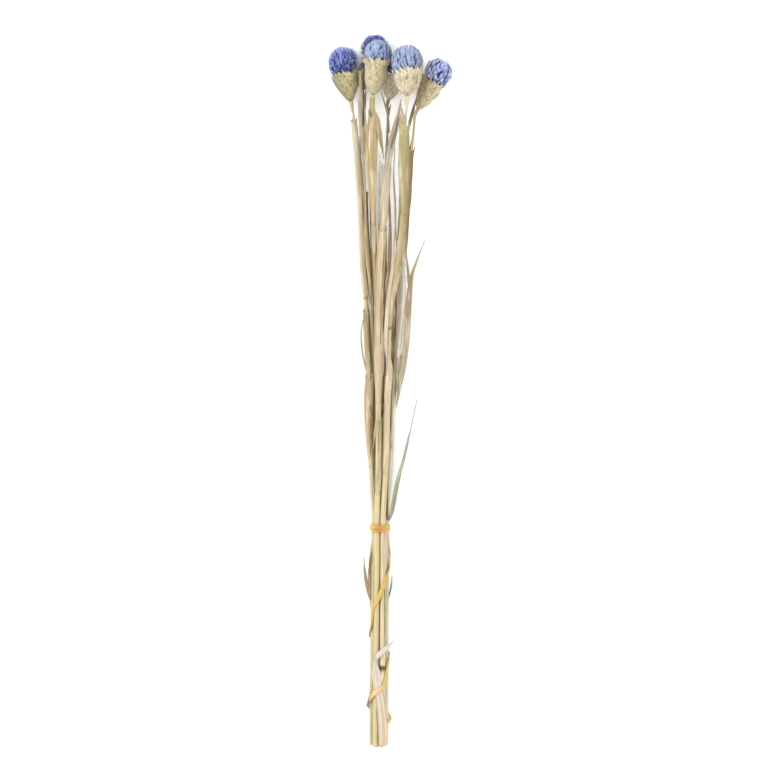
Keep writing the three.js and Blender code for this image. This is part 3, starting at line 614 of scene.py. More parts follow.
             1.5, 0, "#7D6A4E", "#5E4E3C"),
            ([(-6.2, 146, 3.8), (-7.2, 170, 4.4), (-8.4, 196, 5.4), (-10, 222, 7)],
             5.6, 0, "#9A8A62", "#B3A27C"),
        ],
    ),
    "7": dict(
        slot=(1, 0), cut=1.5, neck=(37.5, 411.5, 13.9), ball=(57.2, 447.7, 14.2), radius=14,
        rim=10.8, barrel=0.45,
        route=[(9.8, 57, 10), (11.8, 96, 10.5), (13.4, 121, 11), (16.8, 155, 12), (19.2, 190, 13),
               (21.6, 224, 14), (23, 259, 15), (23.8, 278, 15.5), (25.2, 302, 16), (27.2, 322, 16),
               (28.3, 342, 15.9), (29.6, 361, 15.5), (31.8, 378, 15), (33.4, 393, 14.5)],
        nodes=[121, 259], culm=["#EFE2D2", "#CFCAA4", "#FCF8EC", "#BDA67C"],
        sheaths=[
            (123, 168, 2.9, 215, "#DDD5B0", "#DCD0B0", "#B3A57C"),
            (176, 246, 3.1, 200, "#EAE2C6", "#FFFCEC", "#E6DCC0"),
            (261, 372, 3, -40, "#CDB286", "#AD9066", "#8C7148"),
        ],
        blades=[
            ([(13.4, 114, 11), (19.8, 145, 13.2), (25.4, 178, 14.6), (28.4, 224, 15.4), (31.4, 248, 16.4),
              (44.2, 283, 17.6)],
             6.4, -0.35, "#A39E7E", "#D2BCA2"),
            ([(26.6, 206, 15.6), (29, 232, 18.6), (27.6, 252, 20), (25.4, 277, 21.4)],
             3.2, 0.6, "#A59A74", "#D3C09A"),
            ([(7.8, 6.5, 10.4), (11.2, 15, 12.2), (17.2, 45, 15), (24.9, 75, 16.6), (31.8, 105, 17.4),
              (36.6, 127, 17.6)],
             4.6, -0.3, "#A4A68A", "#C3C8BA", 0.45, 0.2),
            ([(8, -70, 10.4), (11, -57, 12), (11.9, -46, 12.6)], 1.5, 0, "#A19C90", "#A8A294"),
        ],
        wisps=[
            ([(10.4, 96, 12.3), (11.3, 86, 14.6), (12.2, 77, 14)], 2.4, 0.2, "#DDD4B6", "#E9E2CC"),
            # A dark brown strip in the gap between stems 3 and 7.
            ([(6.9, 8, 13.5), (6.8, 30, 14), (6.9, 52, 15), (7.4, 70, 16)], 1.7, 0, "#6F5A32", "#7F6A40"),
            ([(1, 108, 12.7), (3.6, 118, 13), (4.7, 130, 13), (4.8, 150, 13), (5.2, 186, 13)],
             3, 0, "#6B5630", "#7D6840"),
            ([(-1.6, 214, 18.4), (2.8, 222, 16), (4.9, 232, 15), (5.4, 256, 15), (6.4, 290, 15)],
             3.6, 0, "#94764A", "#B39468"),
            # Painted shade: a dark taupe strip laid on the shaded side beside stem 7's culm, under stem 3.
            ([(14.8, 144, 11), (12.8, 157, 10.2), (13.6, 190, 11), (15.4, 232, 12), (17, 258, 12)],
             4.2, 0, "#8A7E56", "#A3946A"),
            ([(14.3, 125, 13.4), (16.6, 146, 16), (16, 166, 17)], 2, 0.3, "#BDB188", "#A99E78"),
            ([(11.4, 112, 13.4), (12.8, 136, 15.4), (14.4, 160, 17), (15.2, 184, 18)],
             2.2, 0, "#D9CDA6", "#C6B491"),
            ([(18.2, 186, 14.6), (18.2, 212, 16.8), (18.4, 238, 18), (20, 258, 18.4)],
             1.6, 0.2, "#E4CDB4", "#D9B99A"),
        ],
    ),
}
print(len(THISTLES), "thistles,", sum(len(t["blades"]) for t in THISTLES.values()), "leaf blades and",
      sum(len(t["wisps"]) for t in THISTLES.values()), "wisps")

# %% [markdown]
# ## The line of each stem
#
# A stem's middle line is a smooth curve through its points. The CAD model draws it as a centripetal
# Catmull-Rom curve, which passes through every point without overshooting, so the same curve is drawn here.
# All stems rise steadily along Y, so a place on a stem is found by its Y alone. Round each place a side
# direction and a face direction, which looks up off the table, say which way a section is turned.

# %% Draw the stem lines
UP = np.array([0.0, 0.0, 1.0])
BAND_THICKNESS, GAP, TIE_CULM_RADIUS = 1.1, 0.3, 2.75
TIE_SPACING, BASE_SPACING, BASE_Y, PACK_X_BASE = 5.9, 6.6, -215, -1.2
SPLAY_START, SPLAY_LENGTH = 6, 190  # below the tie the stems spread from one spacing to the other
LOW_ROW_LIFT, LOW_ROW_RAMP = 0.7, (8, 60)  # and the lowest row rises, where the band winds under it
ROW_RISE = math.sqrt(3) / 2  # from one row of the packing to the next, in spacings
TIED_PLACES = (-160, -100, -50, -10, 0, 12)  # a stem's line is fixed here, in the packing
THROAT = 6  # the last stretch of a stem, in line with its head


def smooth_line(points, steps=16):
    """A centripetal Catmull-Rom curve through points, as a dense line."""
    p = np.array(points, float)
    p = np.vstack([2 * p[0] - p[1], p, 2 * p[-1] - p[-2]])
    t = np.linspace(0, 1, steps, endpoint=False)[:, None]
    line = []
    for a, b, c, d in zip(p[:-3], p[1:-2], p[2:-1], p[3:]):
        d0, d1, d2 = (max(np.linalg.norm(v - u) ** 0.5, 1e-4) for u, v in ((a, b), (b, c), (c, d)))
        leave = ((b - a) / d0 - (c - a) / (d0 + d1) + (c - b) / d1) * d1
        arrive = ((c - b) / d1 - (d - b) / (d1 + d2) + (d - c) / d2) * d1
        line.append(b + leave * t + (3 * (c - b) - 2 * leave - arrive) * t**2
                    + (2 * (b - c) + leave + arrive) * t**3)
    return np.vstack([*line, p[-2]])


def packed(slot, y):
    """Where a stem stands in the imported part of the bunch."""
    splay = np.clip((-y - SPLAY_START) / SPLAY_LENGTH, 0, 1)
    spacing = TIE_SPACING + (BASE_SPACING - TIE_SPACING) * splay
    lowest = BAND_THICKNESS + GAP + TIE_CULM_RADIUS + LOW_ROW_LIFT * ramp(-y, *LOW_ROW_RAMP)
    x = PACK_X_BASE * ramp(-y, 0, -BASE_Y) + slot[0] * spacing
    return (float(x), y, float(lowest + (slot[1] + 1) * ROW_RISE * spacing))


def stem_line(thistle):
    """A stem's middle line, from its cut end to the neck of its head."""
    tied = [packed(thistle["slot"], y) for y in (BASE_Y + thistle["cut"], *TIED_PLACES)]
    neck, ball = np.array(thistle["neck"], float), np.array(thistle["ball"], float)
    throat = neck - unit(ball - neck) * THROAT
    return smooth_line([*tied, *thistle["route"], tuple(throat), tuple(neck)])


def along_stem(thistle, y):
    """A stem's middle, side direction and face direction at places y."""
    line = thistle["line"]
    heading = np.gradient(line, axis=0)
    middle = np.stack([np.interp(y, line[:, 1], line[:, k]) for k in range(3)], -1)
    ahead = unit(np.stack([np.interp(y, line[:, 1], heading[:, k]) for k in range(3)], -1))
    side = unit(np.cross(ahead, UP))
    return middle, side, np.cross(side, ahead)


for name, thistle in THISTLES.items():
    thistle["line"] = stem_line(thistle)
    length = np.linalg.norm(np.diff(thistle["line"], axis=0), axis=1).sum()
    print(f"stem {name}: {length:.0f} mm long")

# %% [markdown]
# ## Stems
#
# A dry stem is a slightly ribbed straw, 5.6 mm thick at the cut end and 2.5 mm under the head, with a joint
# where each leaf grew. It could be a plain tube with a bump map, but a rib would then not show at its
# outline. So each ring of points is pushed in and out a little by its angle, and swells at a joint. At the
# lower end the stem is cut: the straw's wall turns inwards, and the pith lies six millimetres deep.

# %% Make the stems
RING = 24
NECK_SHARE = 0.19  # radius of a stem's neck, in radii of its cup's rim
NECK_FLARE = 14  # length over which the stem widens to it, from NECK_RADIUS
NECK_RADIUS = 1.25
# Joints that are darker than most, by their y: tone, how strong it is and how far it reaches.
DARK_JOINTS = {226: ("#B07A34", 0.7, 1.5), -138: ("#553B1E", 1.0, 2.4), 196: ("#6E6230", 0.8, 1.5)}
COMMON_JOINT = ("#A8884E", 0.3, 1.0)
PITH_TONES = ("#B79E6A", "#8F7848", "#D8C79C", "#EADDB8")


def culm_radius(y):
    """Radius of the bare stem."""
    return np.interp(y, [BASE_Y, 0, 150, 250, 320, 400, 440], [2.8, 2.75, 2.5, 2.15, 1.7, 1.25, 1.2])


def stem_tone(thistle, y):
    """Tone of the bare stem."""
    stops = np.array([linear(c) for c in thistle["culm"]])
    return np.stack([np.interp(y, [-215, -40, 200, 420], stops[:, k]) for k in range(3)], -1)


def make_stem(name, thistle):
    rng = np.random.default_rng(10 + int(name))
    heap = Heap()
    low, high = BASE_Y + thistle["cut"], thistle["neck"][1]
    marks = [np.arange(low, high, 3.0), [low + 0.3, high]]
    marks += [node + np.array([-2.2, -1.5, -1, -0.5, 0, 0.5, 1, 1.5, 2.2]) for node in thistle["nodes"]]
    y = np.unique(np.round(np.concatenate(marks), 2))
    y = y[(y >= low) & (y <= high)]
    angle = np.linspace(0, 2 * np.pi, RING, endpoint=False)
    middle, side, face = along_stem(thistle, y)
    radius = culm_radius(y) - 0.05
    tone = stem_tone(thistle, y)[:, None, :] * np.ones((1, RING, 1))
    for node in thistle["nodes"]:
        near = np.exp(-(((y - node) / 1.0) ** 2))
        under = np.exp(-(((y - node - 2.0) / 0.9) ** 2))
        radius = radius + (0.1 + 0.32 * ramp(y, 10, 60)) * near - 0.12 * under
        dark, strength, reach = DARK_JOINTS.get(node, COMMON_JOINT)
        broad = np.exp(-(((y - node) / reach) ** 4))
        tone += (strength * broad + 0.2 * under)[:, None, None] * (linear(dark) - tone)
    radius = radius + (thistle["rim"] * NECK_SHARE - NECK_RADIUS) * ramp(y, high - NECK_FLARE, high)
    ribs = 0.035 * np.sin(7 * angle + rng.uniform(0, 6)) + 0.022 * np.sin(12 * angle + rng.uniform(0, 6))
    section = radius[:, None] * (1 + ribs)
    points = (middle[:, None] + side[:, None] * (section * np.cos(angle))[..., None]
              + face[:, None] * (section * np.sin(angle))[..., None])
    slant = rng.uniform(-0.7, 0.7) * np.cos(angle) + rng.uniform(-0.35, 0.35, RING)
    points[0, :, 1] += slant
    points[1, :, 1] += 0.6 * slant + 0.3
    grain = np.stack(np.broadcast_arrays(angle * 2.6, y[:, None], 7.3 * int(name)), -1)
    inner = [middle[0] + (points[0] - middle[0]) * k + np.array([0, depth, 0])
             for k, depth in ((0.1, 6.5), (0.58, 6), (0.66, 1), (0.72, 0.05))]
    pith = np.array([linear(tone_hex) for tone_hex in PITH_TONES])
    points = np.concatenate([inner, points])
    grain = np.concatenate([grain[:4] + (40, 0, 0), grain])
    tone = np.concatenate([pith[:, None, :] * np.ones((1, RING, 1)), tone])
    heap.tube(points, grain, tone)
    return make_piece("stem_straw_" + name, heap, straw, ["stem_" + name])


for name, thistle in THISTLES.items():
    make_stem(name, thistle)

# %% [markdown]
# ## Sheaths
#
# Above each joint the foot of a leaf wraps the stem as a thin sheath. When it dries it opens along one side
# and flattens, so from above it shows as a ribbed band, wider than the stem, with its slit in front, at a
# side or behind, and it ends in two torn ears. So it is a curved skin: a section that starts as nearly a
# full circle and opens as it rises, ribbed along its length, with its edges a little out and its mouth
# ragged.

# %% Make the sheaths
SHEATH_COLUMNS = 36
SHEATH_THICKNESS = 0.26


def add_sheath(heap, rng, thistle, start, end, half_width, slit, low_hex, high_hex, edge_hex, opening=30):
    """A sheath from start to end along Y, with its slit turned by the angle slit."""
    columns = np.linspace(-1, 1, SHEATH_COLUMNS)
    steps = np.linspace(0, 1, max(10, int((end - start) / 2.6)))[:, None]
    ears = 5.5 * np.exp(-(((np.abs(columns) - 0.93) / 0.1) ** 2)) + rng.uniform(-0.9, 0.9, SHEATH_COLUMNS)
    slope = rng.choice([-1, 1]) * 2.5 * columns
    y = start + 0.6 + (end - start - 0.6 + (ears + slope) * (half_width > 2.7)) * steps
    opened = ramp(y, start, start + opening)
    half_arc = np.radians(172 - (30 + 5 * half_width) * opened - 16 * ramp(steps, 0.8, 1))
    turn = np.radians(slit + 180) + half_arc * columns + 0.10 * np.sin(y / 23 + rng.uniform(0, 6))
    radius = culm_radius(y) + 0.05 + 0.23 * ramp(y, start, start + 7)
    wide = np.maximum(radius, radius + (half_width - radius) * opened)
    deep = np.maximum(radius, radius + (min(half_width, 2.35) - radius) * opened)
    ribs = 0.07 * np.cos(np.pi * 15 * columns) + 0.035 * np.cos(np.pi * 23 * columns + 2)
    mouth = ramp(steps, 0.93, 1) * ramp(np.abs(columns), 0.5, 1)
    lip = 0.45 * ramp(np.abs(columns), 0.86, 1) * opened + 0.5 * mouth
    ripple = 0.12 * np.sin(y / 9 + 4 * columns + rng.uniform(0, 6)) * opened
    out = 1 + (ribs + lip + ripple * ramp(np.abs(columns), 0.3, 1)) / wide
    last = thistle["neck"][1] - 1
    middle, side, face = along_stem(thistle, np.minimum(y, last))
    middle = middle + np.maximum(y - last, 0)[..., None] * [0, 1, 0]
    points = (middle + side * (wide * out * np.cos(turn))[..., None]
              + face * (deep * out * np.sin(turn))[..., None])
    tone = linear(low_hex) + (linear(high_hex) - linear(low_hex)) * steps[..., None]
    stripe = np.interp(columns, np.linspace(-1, 1, 13), rng.uniform(0, 1, 13)) ** 2
    towards_edge = np.clip(ramp(np.abs(columns), 0.3, 1) * 0.8 + 0.45 * stripe, 0, 1)
    tone = tone + (linear(edge_hex) - tone) * (towards_edge * ramp(steps, -0.2, 0.3))[..., None]
    bare = stem_tone(thistle, y)
    tone = bare + (tone - bare) * ramp(y, start, start + 16)[..., None]
    grain = np.stack(np.broadcast_arrays(turn * half_width, y, rng.uniform(0, 90)), -1)
    thickness = SHEATH_THICKNESS * (0.1 + 0.9 * ramp(y, start, start + 7))
    heap.slab(points, -thickness[..., None], grain, tone)


for name, thistle in THISTLES.items():
    rng = np.random.default_rng(50 + int(name))
    heap = Heap()
    for sheath in thistle["sheaths"]:
        add_sheath(heap, rng, thistle, *sheath)
    make_piece("sheaths_" + name, heap, papery, ["stem_" + name])

# %% [markdown]
# ## Leaf blades
#
# The blades are long, dry, narrow leaves and split ends of sheaths. A blade is folded slightly along its
# midrib, its edges wave where they dried unevenly, and it ends in a thin tip. A flat ribbon would show none
# of this, so each blade is a slab with eleven columns: the middle one is raised, the outer ones wave, and
# fine ribs run along it.

# %% Make the leaf blades
BLADE_THICKNESS = 0.28


def add_blade(heap, rng, line, width, roll, foot_hex, tip_hex, foot=0.45, narrows=0.5):
    """A blade along a line: foot is the share of its width there, narrows where it starts to taper."""
    path = smooth_line(line, 14)
    share = np.linspace(0, 1, len(path))
    ahead = unit(np.gradient(path, axis=0))
    side = unit(np.cross(ahead, UP))
    face = np.cross(side, ahead)
    turn = roll + 0.22 * np.sin(share * 5 + rng.uniform(0, 6)) * ramp(share, 0.15, 1)
    side, face = (side * np.cos(turn)[:, None] + face * np.sin(turn)[:, None],
                  face * np.cos(turn)[:, None] - side * np.sin(turn)[:, None])
    half = width / 2 * (foot + (1 - foot) * ramp(share, 0, 0.3)) * (1 - 0.86 * ramp(share, narrows, 1) ** 1.3)
    columns = np.linspace(-1, 1, 11)
    wave = 0.06 * width * np.sin(share[:, None] * 26 + 2.2 * columns + rng.uniform(0, 6)) * np.abs(columns)
    fold = 0.3 * half[:, None] * (1 - np.abs(columns)) * (0.4 if width > 3 else 0.7)
    ribs = 0.05 * np.cos(np.pi * 5 * columns)
    points = (path[:, None] + side[:, None] * (half[:, None] * columns)[..., None]
              + face[:, None] * (fold + wave + ribs)[..., None])
    length = share * np.linalg.norm(np.diff(path, axis=0), axis=1).sum()
    grain = np.stack(np.broadcast_arrays(half[:, None] * columns, length[:, None], rng.uniform(0, 90)), -1)
    tone = linear(foot_hex) + (linear(tip_hex) - linear(foot_hex)) * ramp(share, 0.1, 0.9)[:, None, None]
    tone = tone * (1 - 0.2 * ramp(np.abs(columns), 0.6, 1))[None, :, None]
    tone = tone * (1 - 0.2 * np.exp(-((columns / 0.14) ** 2)))[None, :, None]
    heap.slab(points, BLADE_THICKNESS, grain, tone)


for name, thistle in THISTLES.items():
    rng = np.random.default_rng(80 + int(name))
    heap = Heap()
    for blade in thistle["blades"] + thistle["wisps"]:
        add_blade(heap, rng, *blade)
    if heap.count:
        make_piece("leaves_" + name, heap, papery, ["stem_" + name])

# %% [markdown]
# ## Where a head's parts lie
#
# A globe thistle's head has two parts: a cup of dry bracts that widens from the stem, and the ball of
# florets that sits in it. Both are round about the line from the neck to the middle of the ball. Below its
# middle the ball narrows only to just inside the cup's rim, because the lowest florets spread over the rim.
# So one function gives the ball's half width at each level, and another the cup's, and the rim's teeth lean
# on the ball.

# %% Measure along and across a head
GOLDEN = math.radians(137.50776)  # the golden angle
SEAT = 0.88  # how far below the ball's middle the rim lies, in ball radii


def head_frame(thistle):
    """Neck, ball, the axis between them, and two directions across it."""
    neck, ball = np.array(thistle["neck"], float), np.array(thistle["ball"], float)
    axis = unit(ball - neck)
    right = unit(np.cross(axis, UP))
    return neck, ball, axis, right, np.cross(right, axis)


def cup_height(thistle):
    """From the neck to the rim."""
    return math.dist(thistle["ball"], thistle["neck"]) - SEAT * thistle["radius"]


def ball_width(level, thistle):
    """Half width of the ball, level radii above its middle: a sphere above, nearly a drum below."""
    level = np.clip(level, -1, 1)
    narrowing = 1 - min(0.80, 0.97 * thistle["rim"] / thistle["radius"])
    return thistle["radius"] * np.where(level > 0, np.sqrt(1 - level**2), 1 - narrowing * (level / SEAT) ** 2)


def cup_radius(share, thistle):
    """Radius of the cup at a share of its height. Above the rim it leans on the ball."""
    share = np.clip(share, 0, None)
    widening = 1 - NECK_SHARE
    funnel = NECK_SHARE + widening * np.sin(np.minimum(share, 1) * np.pi / 2) ** 1.3
    keg = 1 - widening * np.exp(-4.5 * share)
    inside = thistle["rim"] * (funnel + (keg - funnel) * thistle["barrel"])
    above = (share - 1) * cup_height(thistle)
    on_florets = 1.05 * ball_width(above / thistle["radius"] - SEAT, thistle) + 0.3
    leaning = np.maximum(on_florets, inside - 0.1 * above)
    return np.where(above > 0, inside + (leaning - inside) * ramp(above, 0, 1.5), inside)


for name, thistle in THISTLES.items():
    print(f"head {name}: cup {cup_height(thistle):.0f} mm tall, ball {2 * thistle['radius']:.0f} mm thick")

# %% [markdown]
# ## Cups of bracts
#
# Under each head sits a cup of some two or three hundred dry, pointed, woolly bracts, and of about half as
# many under the bud. They overlap like tiles, and their tips stand out, which is why the cup looks grainy,
# with small dark pits. The pits are painted too: the body under the bracts and each bract's foot are painted
# dark as shade between them, a random few bracts are painted darker as shaded pits, and one side of each
# cup is painted darker as shade. Bracts grow in a spiral, each one the golden angle, 137.5 degrees, further
# round than the last. The same rule places them evenly here on a round, slightly lumpy body. The last ones
# are long teeth that lean on the ball.

# %% Make the cups
BRACT_PITCH = 2.5  # from one bract to the next where a cup is wide
BRACT_THICKNESS = 0.22


def on_cup(thistle, height, angle, lift):
    """Points over the cup's surface, lifted off it."""
    neck, _, axis, right, front = head_frame(thistle)
    tall = cup_height(thistle)
    share = height / tall
    slope = (cup_radius(share + 0.01, thistle) - cup_radius(share - 0.01, thistle)) / (0.02 * tall)
    slope = np.clip(slope, -0.5, 1.5)
    flat = 1 / np.sqrt(1 + slope**2)
    lumps = 0.03 * np.sin(3 * angle + height / 3 + thistle["radius"]) + 0.02 * np.sin(7 * angle - height / 2)
    radius = (cup_radius(share, thistle) - 0.35) * (1 + lumps * ramp(share, 0.05, 0.4)) + lift * flat
    radial = right * np.cos(angle)[..., None] + front * np.sin(angle)[..., None]
    return neck + axis * (height - lift * slope * flat)[..., None] + radial * radius[..., None]


def make_cup(name, thistle):
    rng = np.random.default_rng(120 + int(name))
    neck, _, axis, _, _ = head_frame(thistle)
    tall = cup_height(thistle)
    look = CUP_LOOKS[name]
    pale, dark, shady = (linear(look[key]) for key in ("pale", "dark", "shady"))
    shade_way = look["shade_way"]
    teeth, uneven, high_side = look["teeth"]
    heap = Heap()
    height = np.concatenate([np.linspace(0.4, tall, 26), [tall - 0.4, tall - 1.2]])
    turn = np.linspace(0, 2 * np.pi, 32, endpoint=False)
    body = on_cup(thistle, *np.broadcast_arrays(height[:, None], turn, -0.3))
    lid = neck + axis * (tall - 0.8)
    body[-2:] = lid + (body[-2:] - lid) * np.array([0.82, 0.3])[:, None, None]
    # The body under the bracts is painted very dark, as shade under them.
    heap.tube(body, (0, 0, 0), dark * 0.4)
    u = np.array([0, 0.22, 0.45, 0.68, 0.86, 1.0])
    outline = np.array([0.7, 0.95, 1.0, 0.74, 0.36, 0.03])
    v = np.array([-1, -0.5, 0, 0.5, 1])
    height, count, placed = 0.6, 0, 0
    while height < tall + teeth + uneven:
        around = 2 * np.pi * float(cup_radius(height / tall, thistle))
        pitch = BRACT_PITCH * (0.62 + 0.38 * min(1, around / 50))
        size = pitch * rng.uniform(0.85, 1.1)
        angle = count * GOLDEN + rng.uniform(-0.07, 0.07)
        top = tall + teeth + uneven * math.cos(angle - high_side) + rng.uniform(-1.6, 0.4)
        height += pitch**2 * 0.86 / max(around, 4)
        count += 1
        if height > top:
            continue
        placed += 1
        tooth = height > min(top, tall) - 2.2
        long = size * 1.75 + (rng.uniform(0, 1.8) if tooth else 0)
        tip = rng.uniform(0.1, 0.5) if tooth else rng.uniform(0.4, 1.25)
        sideways = rng.uniform(-0.6, 0.6)
        h = height - 0.3 * long + u[:, None] * long + 0 * v
        reach_round = outline[:, None] * v * size * 0.62 + sideways * u[:, None] ** 2
        lift = 0.25 * u[:, None] + tip * u[:, None] ** 2.5 + 0.35 * (1 - v**2) * outline[:, None]
        round_cup = angle + reach_round / np.maximum(cup_radius(h / tall, thistle), 1.5)
        points = on_cup(thistle, h, round_cup, lift)
        # Each bract is painted dark at its foot, as shade where bracts overlap, darker on the cup's shaded
        # side, and a random few darker still, as shaded pits. Its tip darkens towards the same dark tone.
        in_shade = float(ramp(math.cos(angle - shade_way), -0.3, 0.9))
        body_tone = pale + (shady - pale) * in_shade
        tone = dark * 0.8 + (body_tone - dark * 0.8) * ramp(u, -0.2, 0.5)[:, None]
        tone = tone * (rng.uniform(0.6, 0.85) if rng.uniform() < 0.18 else rng.uniform(0.9, 1.14))
        tone = tone + (dark - tone) * (0.45 * ramp(u, 0.84, 1))[:, None]
        grain = np.stack(np.broadcast_arrays(reach_round, h, count * 3.7), -1)
        darker_edge = (1 - 0.22 * np.abs(v) ** 2)[None, :, None]
        heap.slab(points, BRACT_THICKNESS, grain, tone[:, None, :] * darker_edge)
    print(f"cup {name}: {placed} bracts")
    return make_piece("cup_of_bracts_" + name, heap, woolly, ["cup_" + name], sharp=60)


# Pale tone; a dark tone, which is painted shade in the gaps between bracts and under them and also darkens
# their tips; the painted shade tone of the shaded side and the way round to it; and how far the teeth reach
# over the ball: on average, how uneven, and the way round to the highest. Ways are angles: 0 right, 90 up.
CUP_LOOKS = {
    "1": dict(pale="#DCD1A0", dark="#5E522A", shady="#ACA980", shade_way=math.pi, teeth=(1.6, 0.8, 0.5)),
    "2": dict(pale="#DFD1AC", dark="#B6A67C", shady="#D2C49C", shade_way=0.0, teeth=(3.6, 2.6, 1.1)),
    "3": dict(pale="#F2E6CA", dark="#D0C29C", shady="#E8D9B4", shade_way=0.2, teeth=(4.2, 2.2, 0.7)),
    "4": dict(pale="#D2C59A", dark="#8A7E58", shady="#B8AC80", shade_way=0.0, teeth=(1.5, 0.8, 1.6)),
    "5": dict(pale="#FAEED0", dark="#8A7C54", shady="#E0D4AE", shade_way=0.0, teeth=(1.5, 1.0, 1.6)),
    "6": dict(pale="#A49A78", dark="#5A5240", shady="#7F7660", shade_way=0.0, teeth=(1.0, 0.5, 1.6)),
    "7": dict(pale="#F4E6C2", dark="#94845A", shady="#C0AF80", shade_way=2.9, teeth=(1.3, 0.9, 2.4)),
}
for name, thistle in THISTLES.items():
    make_cup(name, thistle)

# %% [markdown]
# ## Balls of florets
#
# A globe thistle's ball is made of a few hundred florets, and each is a thin tube that splits into narrow
# petals. From outside only the petals show. In some of these heads they stand out straight, like bristles,
# and in others they lie along the ball as broad straps that point to its top. So a dark core is made first,
# its tone painted shade deep in the ball, and then tufts of tapering petals that are rooted in it. A few
# numbers for each head say how many tufts it has, how far they lie over, how wide the petals are and how far
# they spread. Real petals are about 0.3 to 1 mm wide, and they are drawn 0.6 to 2.3 mm wide to show here. A
# few fine hairs reach past the petals, so that the ball's edge looks fuzzy.

# %% Make the balls
# Each head's root tone is painted shade deep in the ball, and its edge value darkens every petal's edges as
# painted shade between petals. Its patch is a colour painted on one side of the ball: partly the head's own
# tint, partly painted light and shade, paler towards the lamp on some heads and greyer away from it on the
# third.
HEAD_LOOKS = {
    "1": dict(tufts=260, petals=5, width=0.95, lie=0.28, spread=1.35, lumpy=0.04, rough=0.09, edge=0.88,
              shades=(0.72, 1.25), root="#465CBE", middle="#869DF4", tip="#BCCCFC",
              side_tint_and_light=((0.55, -0.66, 0.5), "#E2E8F6", 0.9), hairs=170),
    "2": dict(tufts=230, petals=5, width=1.15, lie=0.75, spread=1.25, lumpy=0.035, rough=0.05,
              edge=0.86, shades=(0.78, 1.12), root="#4356A4", middle="#8596CC", tip="#B4C4EA",
              side_tint_and_light=((-0.6, 0.45, 0.65), "#C9E0FA", 0.9), hairs=70),
    "3": dict(tufts=300, petals=5, width=1.0, lie=0.65, spread=1.4, lumpy=0.025, rough=0.04, edge=0.94,
              shades=(0.9, 1.08), root="#8494CE", middle="#A8B6E4", tip="#CAD5F4",
              side_tint_and_light=((0.95, 0.0, 0.25), "#B0B8C0", 0.6), hairs=40),
    "4": dict(tufts=240, petals=4, width=0.95, lie=0.35, spread=1.3, lumpy=0.05, rough=0.12, edge=0.8,
              shades=(0.66, 1.2), root="#2A3286", middle="#4F5CC0", tip="#7884D4",
              side_tint_and_light=((-0.95, -0.25, 0.1), "#B2A8DC", 0.8), hairs=170),
    "5": dict(tufts=180, petals=4, width=1.0, lie=0.4, spread=1.2, lumpy=0.04, rough=0.08, edge=0.85,
              shades=(0.8, 1.15), root="#6A6CA8", middle="#9C9ACA", tip="#C2B8DC",
              side_tint_and_light=((0, -0.7, 0.3), "#B9AACC", 0.6), hairs=40),
    "6": dict(tufts=60, petals=3, width=0.8, lie=0.9, spread=0.7, lumpy=0.03, rough=0.04, edge=0.8,
              shades=(0.7, 1.1), root="#262140", middle="#4C3F70", tip="#7E7299",
              side_tint_and_light=((-0.8, 0.3, 0.6), "#A39F78", 0.7), hairs=16),
    "7": dict(tufts=130, petals=3, width=2.0, lie=0.9, spread=1.3, lumpy=0.05, rough=0.12, edge=0.76,
              shades=(0.74, 1.22), root="#3442A0", middle="#9AA8EC", tip="#DCE2FC",
              side_tint_and_light=((-0.5, -0.3, 0.8), "#F0F3FF", 0.7), hairs=40),
}


CORE_SIZE = 0.80  # the dark core, as a share of the ball
PETAL_ROOT = 0.70  # petals are rooted this far out, inside the core


def add_petal(heap, path, across, outward, widths, thick, tone, edge, grain_number):
    """A tapering petal strip with a ridge, a painted highlight on it, and painted shade at its edges and
    beneath.
    """
    half = np.stack([widths / 2, 0 * widths, -widths / 2, 0 * widths], 1)
    rise = thick * np.array([0, 1, 0, -0.6]) * np.ones((len(path), 1))
    points = path[:, None] + half[..., None] * across + rise[..., None] * outward
    length = np.linspace(0, 1, len(path)) * np.linalg.norm(path[-1] - path[0])
    # Painted highlight along the ridge, painted shade at the edges and on the underside.
    ridge_light_and_edge_shade = np.array([edge, 1.08, edge, 0.7])[None, :, None]
    heap.tube(points, np.stack(np.broadcast_arrays(half, length[:, None], grain_number), -1),
              tone[:, None, :] * ridge_light_and_edge_shade)


def on_ball(thistle, polar, radial, scale):
    """Points in the ball: angle from its top, direction across the axis, and the share of its size."""
    _, ball, axis, _, _ = head_frame(thistle)
    level = np.cos(polar)
    wide = ball_width(level, thistle) * scale
    return ball + axis * (level * thistle["radius"] * scale)[..., None] + radial * wide[..., None]


